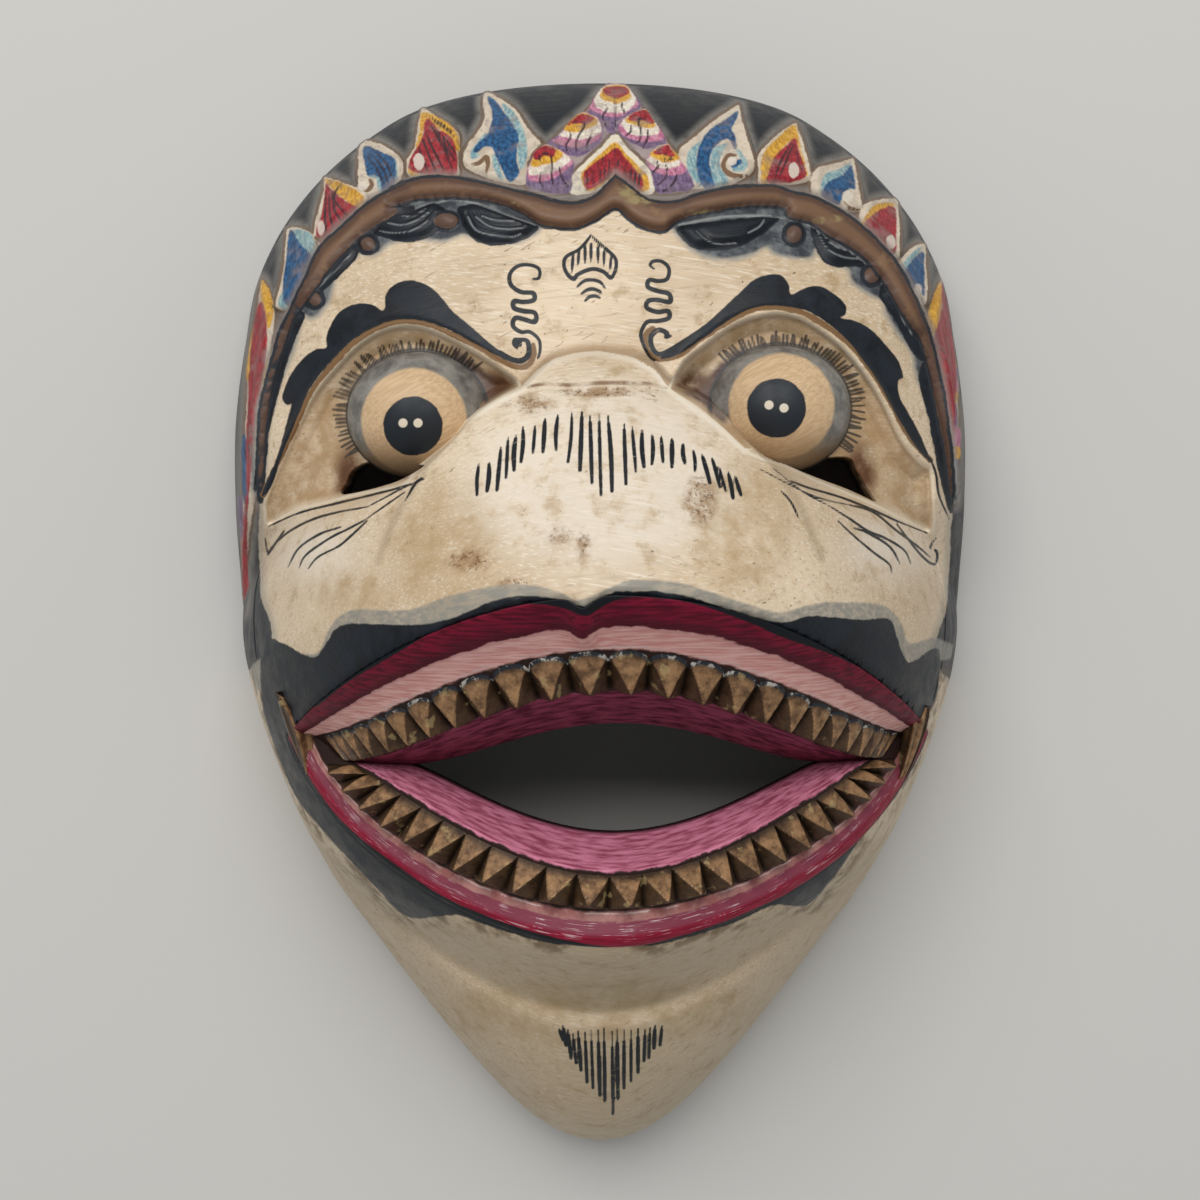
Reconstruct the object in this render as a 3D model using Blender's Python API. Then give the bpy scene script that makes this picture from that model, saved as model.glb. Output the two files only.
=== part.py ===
"""A dance mask of a monkey hero, carved from one block of wood and hollowed out behind.

It lies face up on its flat back rim: +Z comes out of the face, +Y points to the crown and the
origin is the middle of the rim's box, on the floor. Sizes are in millimetres and MM turns them
into metres. The carving is drawn for a mask of the pattern's size and stretched to the asked one,
while walls, reliefs and clearances keep their own millimetres.
"""

import math

import bmesh
import bpy
import numpy as np

MM = 0.001

# Driving sizes
MASK_LENGTH = 237.0
MASK_WIDTH = 163.0
MUZZLE_HEIGHT = 105.0
WALL = 8.5
CROWN_RELIEF = 1.4
BAND_RELIEF = 2.0
LIP_RELIEF = 0.8
EYEBALL_RADIUS, EYEBALL_DEPTH = 13.2, 11.0
TOOTH_HEIGHT = 4.6
UPPER_TEETH = 25
LOWER_TEETH = 23

# The pattern the carving is drawn on: its length, width and height
PATTERN_LENGTH, PATTERN_WIDTH, PATTERN_HEIGHT = 237.0, 163.0, 105.0
STRETCH = np.array([
    MASK_WIDTH / PATTERN_WIDTH,
    MASK_LENGTH / PATTERN_LENGTH,
    MUZZLE_HEIGHT / PATTERN_HEIGHT,
])

# How finely each form is drawn
FACE_COLUMNS, FACE_ROWS = 84, 112
CROWN_STEPS = 150
MOUTH_STEPS = 72
FACE_SHARE, CROWN_SHARE, LIP_SHARE = 0.105, 0.21, 0.5

# Outline on the floor: the centre, its reach up and down, and its half width by the sine of the turn
CENTRE_Y = 20.0
CROWN_REACH, CHIN_REACH = 96.0, 141.0
SIDE_REACH = (
    (-1, 51.5), (-0.9, 55), (-0.81, 59.5), (-0.68, 67), (-0.57, 73.6), (-0.44, 77), (-0.31, 79.7),
    (-0.19, 81.3), (0, 81.5), (0.21, 83.4), (0.385, 86.2), (0.52, 90.5), (0.635, 94), (0.776, 99.2),
    (0.875, 106), (0.955, 121), (1, 132),
)

# Heights by Y: the face plate, its squareness, and the muzzle
PLATE_HEIGHTS = ((-116, 74), (-70, 75), (-30, 66), (10, 60), (50, 59), (85, 57), (116, 57))
PLATE_POWERS = ((-116, 3), (-60, 3), (20, 4), (60, 3.4), (116, 3))
MUZZLE_HEIGHTS = (
    (-84, 86), (-76, 96), (-69, 103), (-64, 107), (-58, 108.5), (-50, 109), (-30, 110.5),
    (-20, 110), (-10, 109), (3, 106), (10, 102), (20, 96.5), (34, 88), (44, 78), (56, 62),
)
MUZZLE_FOOT = -84.0
MUZZLE_TOP = (
    (0, 44), (14, 43), (19, 40.5), (23.5, 36.5), (27.3, 32), (32, 27.5), (37.2, 24),
    (49.3, 20), (69, 15), (82, 12),
)
MUZZLE_EDGE = ((0, 5), (27, 6), (37, 8), (50, 14), (69, 20), (82, 22))
MOUTH_AXIS_Y, MOUTH_BEND = -26.0, 95.0

# Brows, sockets and eyes
BROW_LINE = (
    (0, 48), (15, 51), (24, 55.5), (34, 58.3), (42, 57.8), (50, 53.5), (58, 45), (64, 35),
    (69.5, 23), (75, 8),
)
SOCKET_DEPTH, SOCKET_EDGE = 6.0, 6.0
EYES = ((-36.8, 37.2), (36.2, 38.6))
EYE_FRONT = 62.5
SLIT_DROP, SLIT_OUT, SLIT_HALF_LENGTH, SLIT_HALF_HEIGHT = 12.6, 6.5, 9.5, 3.2
KNOB_Y, KNOB_HALF_WIDTH, KNOB_HALF_HEIGHT, KNOB_RISE = 47.5, 13.0, 5.0, 4.0
CREASE_Y, CREASE_BEND, CREASE_WIDTH, CREASE_DEPTH = -82.0, 0.0095, 2.6, 1.6

# Loops of the mouth, from the lip's outer edge in to the hole: half length, middle X, corner Y,
# rise and fall from the corner with the power of each arc, and the depth below the muzzle at the
# middle of the upper and lower arcs and at the corners
MOUTH_LOOPS = (
    (65.5, 2.6, -27.5, 28.3, 1.90, 36.9, 1.44, 0.0, 0.0, 0.0),
    (62.7, 2.6, -27.0, 22.0, 2.30, 34.3, 1.47, 6.0, 0.5, 3.0),
    (60.0, 2.6, -27.0, 18.0, 3.00, 30.6, 1.45, 12.0, 4.0, 7.0),
    (52.0, 3.0, -32.0, 15.1, 3.30, 18.0, 3.00, 19.0, 7.0, 13.0),
    (41.5, 3.4, -32.7, 9.0, 3.70, 12.3, 2.70, 33.0, 24.0, 25.0),
)
MOUTH_MIDDLE = (3.0, -31.0)
LIP_NOTCH_X, LIP_NOTCH_WIDTH, LIP_NOTCH_DROP = -3.0, 2.2, 2.0
RING_THICKNESS = 4.2
SKIN_DROP = 2.4

# How squarely the hollow's roof turns down into its walls
HOLLOW_POWER = 8.0

# Crown, by angle in degrees from its middle: the band's inner edge as a share of the way from the
# centre to the rim, and the band's width and the leaves' places on the way from there to the rim
CROWN_MIDDLE = 2.0
BAND_INNER = ((0, 0.645), (5, 0.60), (10, 0.61), (17, 0.665), (30, 0.70), (45, 0.745), (62, 0.80),
              (78, 0.86), (90, 0.885), (112, 0.91))
BAND_WIDTH = ((0, 0.08), (20, 0.10), (30, 0.13), (45, 0.17), (100, 0.17))
CROWN_END = 97.0
LEAVES = (
    (15.0, 5.0, -1.5), (25.3, 4.6, -3.0), (35.3, 4.0, -2.6), (45.2, 4.4, -4.0),
    (56.0, 4.8, -5.6), (68.0, 5.4, -6.5), (80.5, 5.4, -7.0), (92.0, 4.6, -6.0),
)
LEAF_TIP, KITE_TIP, KITE_HALF_ANGLE = 0.74, 0.68, 11.0

# Hair locks under the band: the middle and half width of each in degrees, and the knobs between
HAIR_REACH, HAIR_RELIEF = 0.085, 0.9
HAIR_LOCKS = ((16.5, 8.5), (35.0, 7.5), (52.0, 7.0), (69.0, 8.0))
HAIR_KNOBS, KNOB_SIZE = (26.0, 43.0, 60.0), 1.3


def smooth(x, stations):
    """A monotone cubic through (x, value) stations, level beyond the first and the last."""
    xs, ys = np.array(stations, float).T
    step = np.diff(xs)
    rate = np.diff(ys) / step
    slope = np.zeros_like(xs)
    slope[0], slope[-1] = rate[0], rate[-1]
    before, after = rate[:-1], rate[1:]
    turns = before * after <= 0
    low, high = 2 * step[1:] + step[:-1], step[1:] + 2 * step[:-1]
    safe_before, safe_after = np.where(turns, 1, before), np.where(turns, 1, after)
    slope[1:-1] = np.where(turns, 0, (low + high) / (low / safe_before + high / safe_after))
    x = np.clip(x, xs[0], xs[-1])
    i = np.clip(np.searchsorted(xs, x) - 1, 0, len(step) - 1)
    t = (x - xs[i]) / step[i]
    return (
        ys[i] * (1 + 2 * t) * (1 - t) ** 2
        + ys[i + 1] * t * t * (3 - 2 * t)
        + slope[i] * step[i] * t * (1 - t) ** 2
        + slope[i + 1] * step[i] * t * t * (t - 1)
    )


def ramp(x, low, high):
    """0 up to low, 1 from high on, and an S-curve between them."""
    t = np.clip((x - low) / (high - low), 0, 1)
    return t * t * (3 - 2 * t)


def bell(x, width):
    """1 at zero, falling off on both sides within about twice the width."""
    return np.exp(-((x / width) ** 2))


def floor_point(rho, turn):
    """X and Y of a share rho of the way from the centre to the outline, turned from +X."""
    s, c = np.sin(turn), np.cos(turn)
    reach = np.where(s > 0, CROWN_REACH, CHIN_REACH)
    return rho * c * smooth(s, SIDE_REACH), CENTRE_Y + rho * reach * s


def rho_of(x, y):
    """The share of the way from the centre to the outline at X, Y: the inverse of floor_point."""
    up = (y - CENTRE_Y) / np.where(y > CENTRE_Y, CROWN_REACH, CHIN_REACH)
    rho = np.hypot(x / SIDE_REACH[8][1], up)
    for _ in range(12):
        sine = np.clip(up / np.maximum(rho, 1e-6), -1, 1)
        rho = np.hypot(x / smooth(sine, SIDE_REACH), up)
    return rho


def mouth_loop(loop, turn):
    """X and Y round a loop of the mouth, and its depth below the muzzle."""
    half, middle, corner, rise, rise_power, fall, fall_power, upper, lower, ends = loop
    s, c = np.sin(turn), np.cos(turn)
    x = middle + half * c
    y = corner + np.where(s > 0, rise * np.abs(s) ** rise_power, -fall * np.abs(s) ** fall_power)
    notch = LIP_NOTCH_DROP * bell(x - LIP_NOTCH_X, LIP_NOTCH_WIDTH) * (s > 0)
    depth = ends + (np.where(s > 0, upper, lower) - ends) * np.abs(s)
    return x, y - np.where(rise > 20, notch, 0), depth


def mouth_depth(x, y):
    """How deep the lips and the mouth are cut below the muzzle at X, Y: straight from loop to
    loop, going in towards the middle of the mouth."""
    middle_x, middle_y = MOUTH_MIDDLE
    way, reach = np.arctan2(y - middle_y, x - middle_x), np.hypot(x - middle_x, y - middle_y)
    rings = []
    for loop in MOUTH_LOOPS:
        loop_x, loop_y, loop_depth = mouth_loop(loop, np.linspace(0, 2 * math.pi, 721)[:-1])
        around = np.arctan2(loop_y - middle_y, loop_x - middle_x)
        loop_reach = np.hypot(loop_x - middle_x, loop_y - middle_y)
        rings.append((
            np.interp(way, around, loop_reach, period=2 * math.pi),
            np.interp(way, around, loop_depth, period=2 * math.pi),
        ))
    depth = np.zeros_like(x)
    for (outer, outer_depth), (inner, inner_depth) in zip(rings, rings[1:]):
        share = np.clip((outer - reach) / np.maximum(outer - inner, 0.1), 0, 1)
        depth += share * (inner_depth - outer_depth)
    return depth


def envelope(x, y, rho, inset=0.0):
    """Height of the carved face without its mouth: plate, sockets, nose knob and muzzle. With an
    inset it is the plainer form of the hollow, its muzzle that much narrower."""
    side = np.abs(x)
    power = smooth(y, PLATE_POWERS)
    plate = smooth(y, PLATE_HEIGHTS) * np.sqrt(np.maximum(1 - rho ** power, 0))
    bent = MOUTH_AXIS_Y + (y - MOUTH_AXIS_Y) / (1 - (x / MOUTH_BEND) ** 2)
    muzzle = smooth(bent, MUZZLE_HEIGHTS) * np.sqrt(np.maximum(1 - rho ** 2, 0))
    edge = smooth(side, MUZZLE_EDGE)
    top = smooth(side, MUZZLE_TOP) - inset
    share = ramp(top + edge / 2 - y, 0, edge) * ramp(bent - inset, MUZZLE_FOOT, MUZZLE_FOOT + 18)
    if inset:
        return plate + (muzzle - plate) * share
    below_brow = smooth(side, BROW_LINE) - y
    inside = ramp(below_brow, 0, SOCKET_EDGE) * ramp(y, 5, 20) * ramp(side, 8, 16)
    plate -= SOCKET_DEPTH * inside * (1 - ramp(side, 62, 72))
    plate += 1.0 * bell(below_brow + 1.5, 2.0) * ramp(side, 10, 18) * (1 - ramp(side, 60, 70))
    across = np.hypot(x / KNOB_HALF_WIDTH, (y - KNOB_Y) / KNOB_HALF_HEIGHT)
    plate += KNOB_RISE * np.sqrt(np.maximum(1 - across ** 2, 0))
    height = plate + (muzzle - plate) * share
    crease = y - (CREASE_Y + CREASE_BEND * x * x)
    return height - CREASE_DEPTH * bell(crease, CREASE_WIDTH) * (1 - ramp(side, 30, 52))


def crown_rho(angle, q):
    """The share of the way to the rim: hair up to q = 0, then the band and the crown to q = 1."""
    inner = smooth(np.abs(angle - CROWN_MIDDLE), BAND_INNER)
    return np.where(q < 0, inner + q * HAIR_REACH, 1 - (1 - inner) * (1 - np.maximum(q, 0)) ** 2)


def leaf_inside(angle, q):
    """1 on the crown's raised leaves and central kite, 0 between them."""
    side = np.abs(angle - CROWN_MIDDLE)
    base = smooth(side, BAND_WIDTH)
    up = np.clip((q - base) / (LEAF_TIP - base), 0, 1)
    inside = np.zeros_like(angle)
    for middle, half, lean in LEAVES:
        inside = np.maximum(inside, ramp(half * (1 - up) ** 0.8 - np.abs(side - middle - lean * up), 0, 1))
    kite = KITE_HALF_ANGLE * np.clip(1 - (q - base) / (KITE_TIP - base), 0, 1)
    return np.maximum(inside, ramp(kite - side, 0, 1)) * (q > base)


def crown_relief(angle, q):
    """Height of the hair, the band and the leaves over the forehead and the crown's ground."""
    side = np.abs(angle - CROWN_MIDDLE)
    width = smooth(side, BAND_WIDTH)
    band = ramp(q, -0.08, 0) * (1 - ramp(q, width - 0.02, width + 0.03))
    hair = np.zeros_like(angle)
    for middle, half in HAIR_LOCKS:
        lobe = np.sqrt(np.maximum(1 - ((side - middle) / half) ** 2, 0))
        hair = np.maximum(hair, ramp(lobe + q, 0, 0.3))
    for middle in HAIR_KNOBS:
        away = np.hypot((side - middle) / KNOB_SIZE, (q + 0.35) / 0.3)
        hair = np.maximum(hair, 1.4 * np.sqrt(np.maximum(1 - away ** 2, 0)))
    hair = hair * HAIR_RELIEF * (q < 0.02)
    return np.maximum(BAND_RELIEF * band, hair) + CROWN_RELIEF * leaf_inside(angle, q)


def disc_grid(columns, rows):
    """A square grid drawn on a disc: each point's share to the edge and its turn, closer together
    towards the edge, where the carving drops to the floor."""
    a, b = np.meshgrid(np.linspace(-1, 1, columns + 1), np.linspace(-1, 1, rows + 1))
    u, v = a * np.sqrt(1 - b * b / 2), b * np.sqrt(1 - a * a / 2)
    share = np.clip(np.hypot(u, v), 0, 1)
    return np.sin(share * math.pi / 2).ravel(), np.arctan2(v, u).ravel()


def grid_faces(columns, rows):
    """Quads of a grid of (rows + 1) lines of (columns + 1) points."""
    first = (np.arange(rows)[:, None] * (columns + 1) + np.arange(columns)).ravel()
    return np.column_stack([first, first + 1, first + columns + 2, first + columns + 1])


def tube_faces(steps, rows):
    """Quads of a closed band of rows, each a closed loop of steps points."""
    here = (np.arange(rows)[:, None] * steps + np.arange(steps)).ravel()
    after = (np.arange(rows)[:, None] * steps + (np.arange(steps) + 1) % steps).ravel()
    above = (here + steps) % (rows * steps)
    beyond = (after + steps) % (rows * steps)
    return np.column_stack([here, after, beyond, above])


def placed(points):
    """Points of the pattern, stretched to the asked size, with the rim's middle at the origin."""
    middle = CENTRE_Y + (CROWN_REACH - CHIN_REACH) / 2
    return (np.asarray(points, float) - (0, middle, 0)) * STRETCH * MM


def mesh_object(name, points, faces):
    """An object from points in pattern millimetres and faces, with its faces pointing out."""
    mesh = bpy.data.meshes.new(name)
    mesh.from_pydata(placed(points).tolist(), [], [list(f) for f in faces])
    shape = bmesh.new()
    shape.from_mesh(mesh)
    bmesh.ops.recalc_face_normals(shape, faces=shape.faces)
    shape.to_mesh(mesh)
    shape.free()
    made = bpy.data.objects.new(name, mesh)
    bpy.context.scene.collection.objects.link(made)
    return made


def shell():
    """The carved face and the hollow behind it, joined by the flat rim the mask lies on. Under
    the crown and the lips the face is left a little low, for these are laid over it."""
    rho, turn = disc_grid(FACE_COLUMNS, FACE_ROWS)
    edge = rho > 0.99999
    x, y = floor_point(rho, turn)
    depth = mouth_depth(x, y)
    z = envelope(x, y, rho) - depth - SKIN_DROP * np.clip(depth, 0, 1)
    face = np.column_stack([x, y, np.where(edge, 0, z)])
    out_x, out_y = floor_point(np.ones_like(rho), turn)
    room = 1 - WALL / np.hypot(out_x, out_y - CENTRE_Y)
    x, y = x * room, CENTRE_Y + (y - CENTRE_Y) * room
    socket = SOCKET_DEPTH * ramp(y, -10, 12) * (1 - ramp(y, 50, 66))
    roof = envelope(x, y, rho_of(x, y), WALL) - mouth_depth(x, y) - WALL * 1.15 - socket
    z = roof * np.sqrt(np.maximum(1 - rho ** HOLLOW_POWER, 0))
    back = np.column_stack([x, y, np.where(edge, 0, z)])
    c, r = FACE_COLUMNS, FACE_ROWS
    rim = np.concatenate([
        np.arange(c), np.arange(r) * (c + 1) + c, r * (c + 1) + np.arange(c, 0, -1),
        np.arange(r, 0, -1) * (c + 1),
    ])
    after = np.roll(rim, -1)
    quads = grid_faces(c, r)
    joint = np.column_stack([rim, after, after + len(face), rim + len(face)])
    faces = np.concatenate([quads, quads[:, ::-1] + len(face), joint])
    return mesh_object("mask", np.concatenate([face, back]), faces)


def surface(rho, turn):
    """Points and outward directions of the face's envelope, from small steps along it."""
    def at(r, t):
        x, y = floor_point(r, t)
        return np.stack([x, y, envelope(x, y, r)], -1)

    step = 0.002
    inner, outer = np.clip(rho - step, 0, 1), np.clip(rho + step, 0, 0.99995)
    along = at(outer, turn) - at(inner, turn)
    round_ = at(rho, turn + step) - at(rho, turn - step)
    normal = np.cross(along, round_)
    normal /= np.linalg.norm(normal, axis=-1, keepdims=True)
    return at(rho, turn), normal


def crown():
    """The hair, the band and the leaves: a strip laid over the forehead and the crown's sides."""
    rows = np.concatenate([
        np.linspace(-1.2, -0.2, 6), [-0.08, 0.0, 0.05], np.linspace(0.08, 0.22, 5),
        np.linspace(0.28, 0.97, 11),
    ])
    angle = np.linspace(-CROWN_END, CROWN_END, CROWN_STEPS)
    angle, q = np.meshgrid(angle + CROWN_MIDDLE, rows, indexing="ij")
    rho = np.minimum(crown_rho(angle, q), 0.9997)
    points, normal = surface(rho, math.pi / 2 - np.radians(angle))
    side = np.abs(angle - CROWN_MIDDLE)
    lift = crown_relief(angle, q) * (1 - ramp(side, CROWN_END - 10, CROWN_END)) + 0.3
    lift = np.where(q < -1.1, -0.6, lift)
    under = points - normal * 3.0
    ring = np.concatenate([points + normal * lift[..., None], under[:, ::-1]], axis=1)
    steps, per_ring = ring.shape[:2]
    around = np.arange(per_ring)
    first = np.arange(steps - 1)[:, None] * per_ring
    here, after = first + around, first + (around + 1) % per_ring
    faces = np.stack([here, after, after + per_ring, here + per_ring], -1).reshape(-1, 4).tolist()
    for start in (0, (steps - 1) * per_ring):
        for j in range(len(rows) - 1):
            back = per_ring - 1 - j
            faces.append([start + j, start + j + 1, start + back - 1, start + back])
    return mesh_object("crown_relief", ring.reshape(-1, 3), faces)


def loop_points(loop, turn):
    """Points of a mouth loop on the muzzle, sunk by the loop's own depth."""
    x, y, depth = mouth_loop(loop, turn)
    return np.stack([x, y, envelope(x, y, rho_of(x, y)) - depth], -1)


def between(a, b, share, bulge=0.0):
    """Points a share of the way from loop a to loop b, lifted by a bulge in the middle."""
    middle = a + (b - a) * share
    middle[..., 2] += bulge * 4 * share * (1 - share)
    return middle


def lips():
    """The lips and the sloping walls of the mouth: one profile carried round the mouth's loops."""
    turn = np.linspace(0, 2 * math.pi, MOUTH_STEPS, endpoint=False)
    loops = [loop_points(loop, turn) for loop in MOUTH_LOOPS]
    loops[0][..., 2] += LIP_RELIEF * 0.4
    rows = [loops[0]]
    for a, b, bulge in zip(loops, loops[1:], (LIP_RELIEF, 0.4, 0.0, 0.0)):
        rows.append(between(a, b, 0.5, bulge))
        rows.append(b)
    for loop, drop in ((loops[4], 1.6), (loops[3], 1.6), (loops[2], 1.6), (loops[1], 1.6), (loops[0], 1.2)):
        under = loop.copy()
        under[..., 2] -= RING_THICKNESS * drop
        rows.append(under)
    points = np.concatenate(rows)
    return mesh_object("lips", points, tube_faces(MOUTH_STEPS, len(rows)))


def tooth_places(count, upper):
    """Edges of a row of teeth, as turns round the mouth, even along the arch."""
    turn = np.linspace(0.0, math.pi, 400)
    if not upper:
        turn = -turn
    seat = (loop_points(MOUTH_LOOPS[2], turn) + loop_points(MOUTH_LOOPS[3], turn)) / 2
    run = np.concatenate([[0], np.cumsum(np.linalg.norm(np.diff(seat, axis=0), axis=1))])
    return np.interp(np.linspace(0.045, 0.955, count + 1) * run[-1], run, turn)


def teeth(count, upper):
    """A row of pointed studs on the ledge inside the lip, each with its tip low on the stud."""
    turn = tooth_places(count, upper)
    rows = [loop_points(MOUTH_LOOPS[2], turn), loop_points(MOUTH_LOOPS[3], turn)]
    high, low = rows if upper else rows[::-1]
    across, down = np.gradient(high, axis=0), low - high
    out = np.cross(across, down)
    out *= np.sign(out[:, 2:]) / np.linalg.norm(out, axis=1, keepdims=True)
    high, low = high + down * 0.06, low - down * 0.06
    middle = (high[:-1] + high[1:]) / 2 * 0.35 + (low[:-1] + low[1:]) / 2 * 0.65
    lean = out[:-1] + out[1:]
    tip = middle + lean / np.linalg.norm(lean, axis=1, keepdims=True) * TOOTH_HEIGHT
    points = np.concatenate([high - out * 2.2, high, low, low - out * 2.2, tip])
    n = count + 1
    faces = [(0, n, 2 * n, 3 * n), (n - 1, 2 * n - 1, 3 * n - 1, 4 * n - 1)]
    for k in range(count):
        for row in (0, 2 * n, 3 * n):
            beyond = (row + n) % (4 * n)
            faces.append((row + k, row + k + 1, beyond + k + 1, beyond + k))
        corners = (n + k, n + k + 1, 2 * n + k + 1, 2 * n + k)
        for a, b in zip(corners, corners[1:] + corners[:1]):
            faces.append((a, b, 4 * n + k))
    return mesh_object("upper_teeth" if upper else "lower_teeth", points, faces)


def eyeball(place):
    """A bulging eyeball, a slightly flattened ball sunk in the socket."""
    x, y = place
    centre = placed((x, y, EYE_FRONT)) - (0, 0, EYEBALL_DEPTH * MM)
    bpy.ops.mesh.primitive_uv_sphere_add(segments=20, ring_count=11, location=centre)
    ball = bpy.context.object
    ball.scale = (EYEBALL_RADIUS * MM, EYEBALL_RADIUS * MM, EYEBALL_DEPTH * MM)
    ball.name = "eyeball"
    return ball


def slit(place):
    """The cutter of a sight slit below an eyeball, an oval prism through the wall."""
    x, y = place
    out = math.copysign(1, x)
    count = 16
    turn = np.linspace(0, 2 * math.pi, count, endpoint=False)
    px = x + out * SLIT_OUT + SLIT_HALF_LENGTH * np.cos(turn)
    py = y - SLIT_DROP + SLIT_HALF_HEIGHT * np.sin(turn) - 0.12 * out * (px - x - out * SLIT_OUT)
    low = np.column_stack([px, py, np.full(count, 20.0)])
    high = np.column_stack([px, py, np.full(count, 66.0)])
    faces = [(i, (i + 1) % count, count + (i + 1) % count, count + i) for i in range(count)]
    faces += [tuple(range(count))[::-1], tuple(range(count, 2 * count))]
    return mesh_object("slit_cutter", np.concatenate([low, high]), faces)


def mouth_cutter():
    """A prism through the wall behind the mouth, a little wider than its walls' opening."""
    loop = MOUTH_LOOPS[4]
    count = 40
    turn = np.linspace(0, 2 * math.pi, count, endpoint=False)
    s, c = np.sin(turn), np.cos(turn)
    x = loop[1] + (loop[0] + 1.5) * c
    y = loop[2] + np.where(s > 0, (loop[3] + 1.0) * np.abs(s) ** 1.6, -(loop[5] + 1.0) * np.abs(s) ** 1.6)
    low = np.column_stack([x, y, np.full(count, 20.0)])
    high = np.column_stack([x, y, np.full(count, 110.0)])
    faces = [(i, (i + 1) % count, count + (i + 1) % count, count + i) for i in range(count)]
    faces += [tuple(range(count))[::-1], tuple(range(count, 2 * count))]
    return mesh_object("mouth_cutter", np.concatenate([low, high]), faces)


def boolean(target, tool, operation):
    """A Boolean modifier on the mask; its tool is a guide and isn't a part of its own."""
    tool.hide_render = True
    tool.display_type = "WIRE"
    modifier = target.modifiers.new(f"{operation.lower()} {tool.name}", "BOOLEAN")
    modifier.operation = operation
    modifier.object = tool
    modifier.solver = "EXACT"
    modifier.use_self = False


def thinned(target, share):
    """The object with fewer facets where it is nearly flat; the share is what is kept."""
    modifier = target.modifiers.new("fewer facets", "DECIMATE")
    modifier.ratio = share
    return target


def joined(name, objects):
    """Several objects as one mesh."""
    for each in bpy.context.selected_objects:
        each.select_set(False)
    for each in objects:
        each.select_set(True)
    bpy.context.view_layer.objects.active = objects[0]
    bpy.ops.object.join()
    objects[0].name = name
    return objects[0]


def wood_material():
    """Cream painted wood."""
    material = bpy.data.materials.new("painted wood")
    material.use_nodes = True
    shader = material.node_tree.nodes["Principled BSDF"]
    shader.inputs["Base Color"].default_value = (0.62, 0.51, 0.36, 1)
    shader.inputs["Roughness"].default_value = 0.55
    shader.inputs["Metallic"].default_value = 0.0
    return material


def main():
    for old in list(bpy.data.objects):
        bpy.data.objects.remove(old)
    mask = thinned(shell(), FACE_SHARE)
    holes = [mouth_cutter()] + [slit(place) for place in EYES]
    boolean(mask, joined("hole_cutters", holes), "DIFFERENCE")
    for place in EYES:
        boolean(mask, eyeball(place), "UNION")
    boolean(mask, thinned(crown(), CROWN_SHARE), "UNION")
    boolean(mask, thinned(lips(), LIP_SHARE), "UNION")
    boolean(mask, teeth(UPPER_TEETH, True), "UNION")
    boolean(mask, teeth(LOWER_TEETH, False), "UNION")
    mask.data.materials.append(wood_material())


main()
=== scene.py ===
"""The look of a carved and painted monkey dance mask, lying face up, for the shared frame.

Lengths are in millimetres, and new_piece() turns them into metres. The carving and the painting are
drawn as they are seen from straight above: column and row of a drawing 1200 wide, whose middle is
600, 600 and whose unit is 1/2018 of the distance to the eye, 460 mm above the floor.
"""

import math

import bpy
import numpy as np
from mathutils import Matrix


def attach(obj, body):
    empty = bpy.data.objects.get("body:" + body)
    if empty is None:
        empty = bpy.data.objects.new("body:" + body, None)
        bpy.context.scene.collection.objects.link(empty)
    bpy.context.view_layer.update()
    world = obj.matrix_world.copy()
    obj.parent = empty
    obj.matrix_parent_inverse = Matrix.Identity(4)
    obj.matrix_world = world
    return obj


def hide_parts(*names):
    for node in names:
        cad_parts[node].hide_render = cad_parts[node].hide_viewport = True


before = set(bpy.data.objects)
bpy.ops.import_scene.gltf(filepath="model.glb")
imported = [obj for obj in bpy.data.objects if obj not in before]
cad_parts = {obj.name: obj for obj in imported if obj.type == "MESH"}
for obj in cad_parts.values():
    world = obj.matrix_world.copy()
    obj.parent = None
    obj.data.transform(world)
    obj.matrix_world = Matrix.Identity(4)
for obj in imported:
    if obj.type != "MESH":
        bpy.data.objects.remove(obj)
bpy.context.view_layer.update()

# The face, the rim and the hollow: one block of light wood, carved with knives and gouges and
# painted on the front. The back is bare, darkened wood, and the flat rim lies on the floor.
CENTRE_Y, CROWN_REACH, CHIN_REACH = 20.0, 96.0, 141.0
LIE_Y = 2.5
WALL, RIM_STEP = 8.5, 4
BODY_COLUMNS, BODY_ROWS = 248, 332
EYE_HEIGHT, DRAWING_SCALE = 460.0, 2018.0
SIDE_REACH = (
    (-1, 51.5), (-0.9, 55), (-0.81, 59.5), (-0.68, 67), (-0.57, 73.6), (-0.44, 77), (-0.31, 79.7),
    (-0.19, 81.3), (0, 81.5), (0.21, 83.4), (0.385, 86.2), (0.52, 90.5), (0.635, 94), (0.776, 99.2),
    (0.875, 106), (0.955, 121), (1, 132),
)
PLATE_HEIGHTS = ((-116, 74), (-70, 75), (-30, 66), (10, 60), (50, 59), (85, 57), (116, 57))
PLATE_POWERS = ((-116, 3), (-60, 3), (20, 4), (60, 3.4), (116, 3))
MUZZLE_HEIGHTS = (
    (-84, 86), (-76, 96), (-69, 103), (-64, 107), (-58, 108.5), (-50, 109), (-30, 110.5),
    (-20, 110), (-10, 109), (3, 106), (10, 102), (20, 96.5), (34, 88), (44, 78), (56, 62),
)
MUZZLE_TOP = (
    (0, 49), (8.6, 47.8), (12, 44.8), (14.5, 42.2), (19, 40.3), (23.5, 36.9), (27.3, 32.2),
    (32, 27.5), (37.2, 24), (49.3, 20), (69, 15), (82, 12),
)
MUZZLE_EDGE = ((0, 5), (27, 5), (37, 6), (50, 9), (69, 14), (82, 20))
MOUTH_AXIS_Y, MOUTH_BEND, MUZZLE_FOOT = -26.0, 95.0, -84.0
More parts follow.
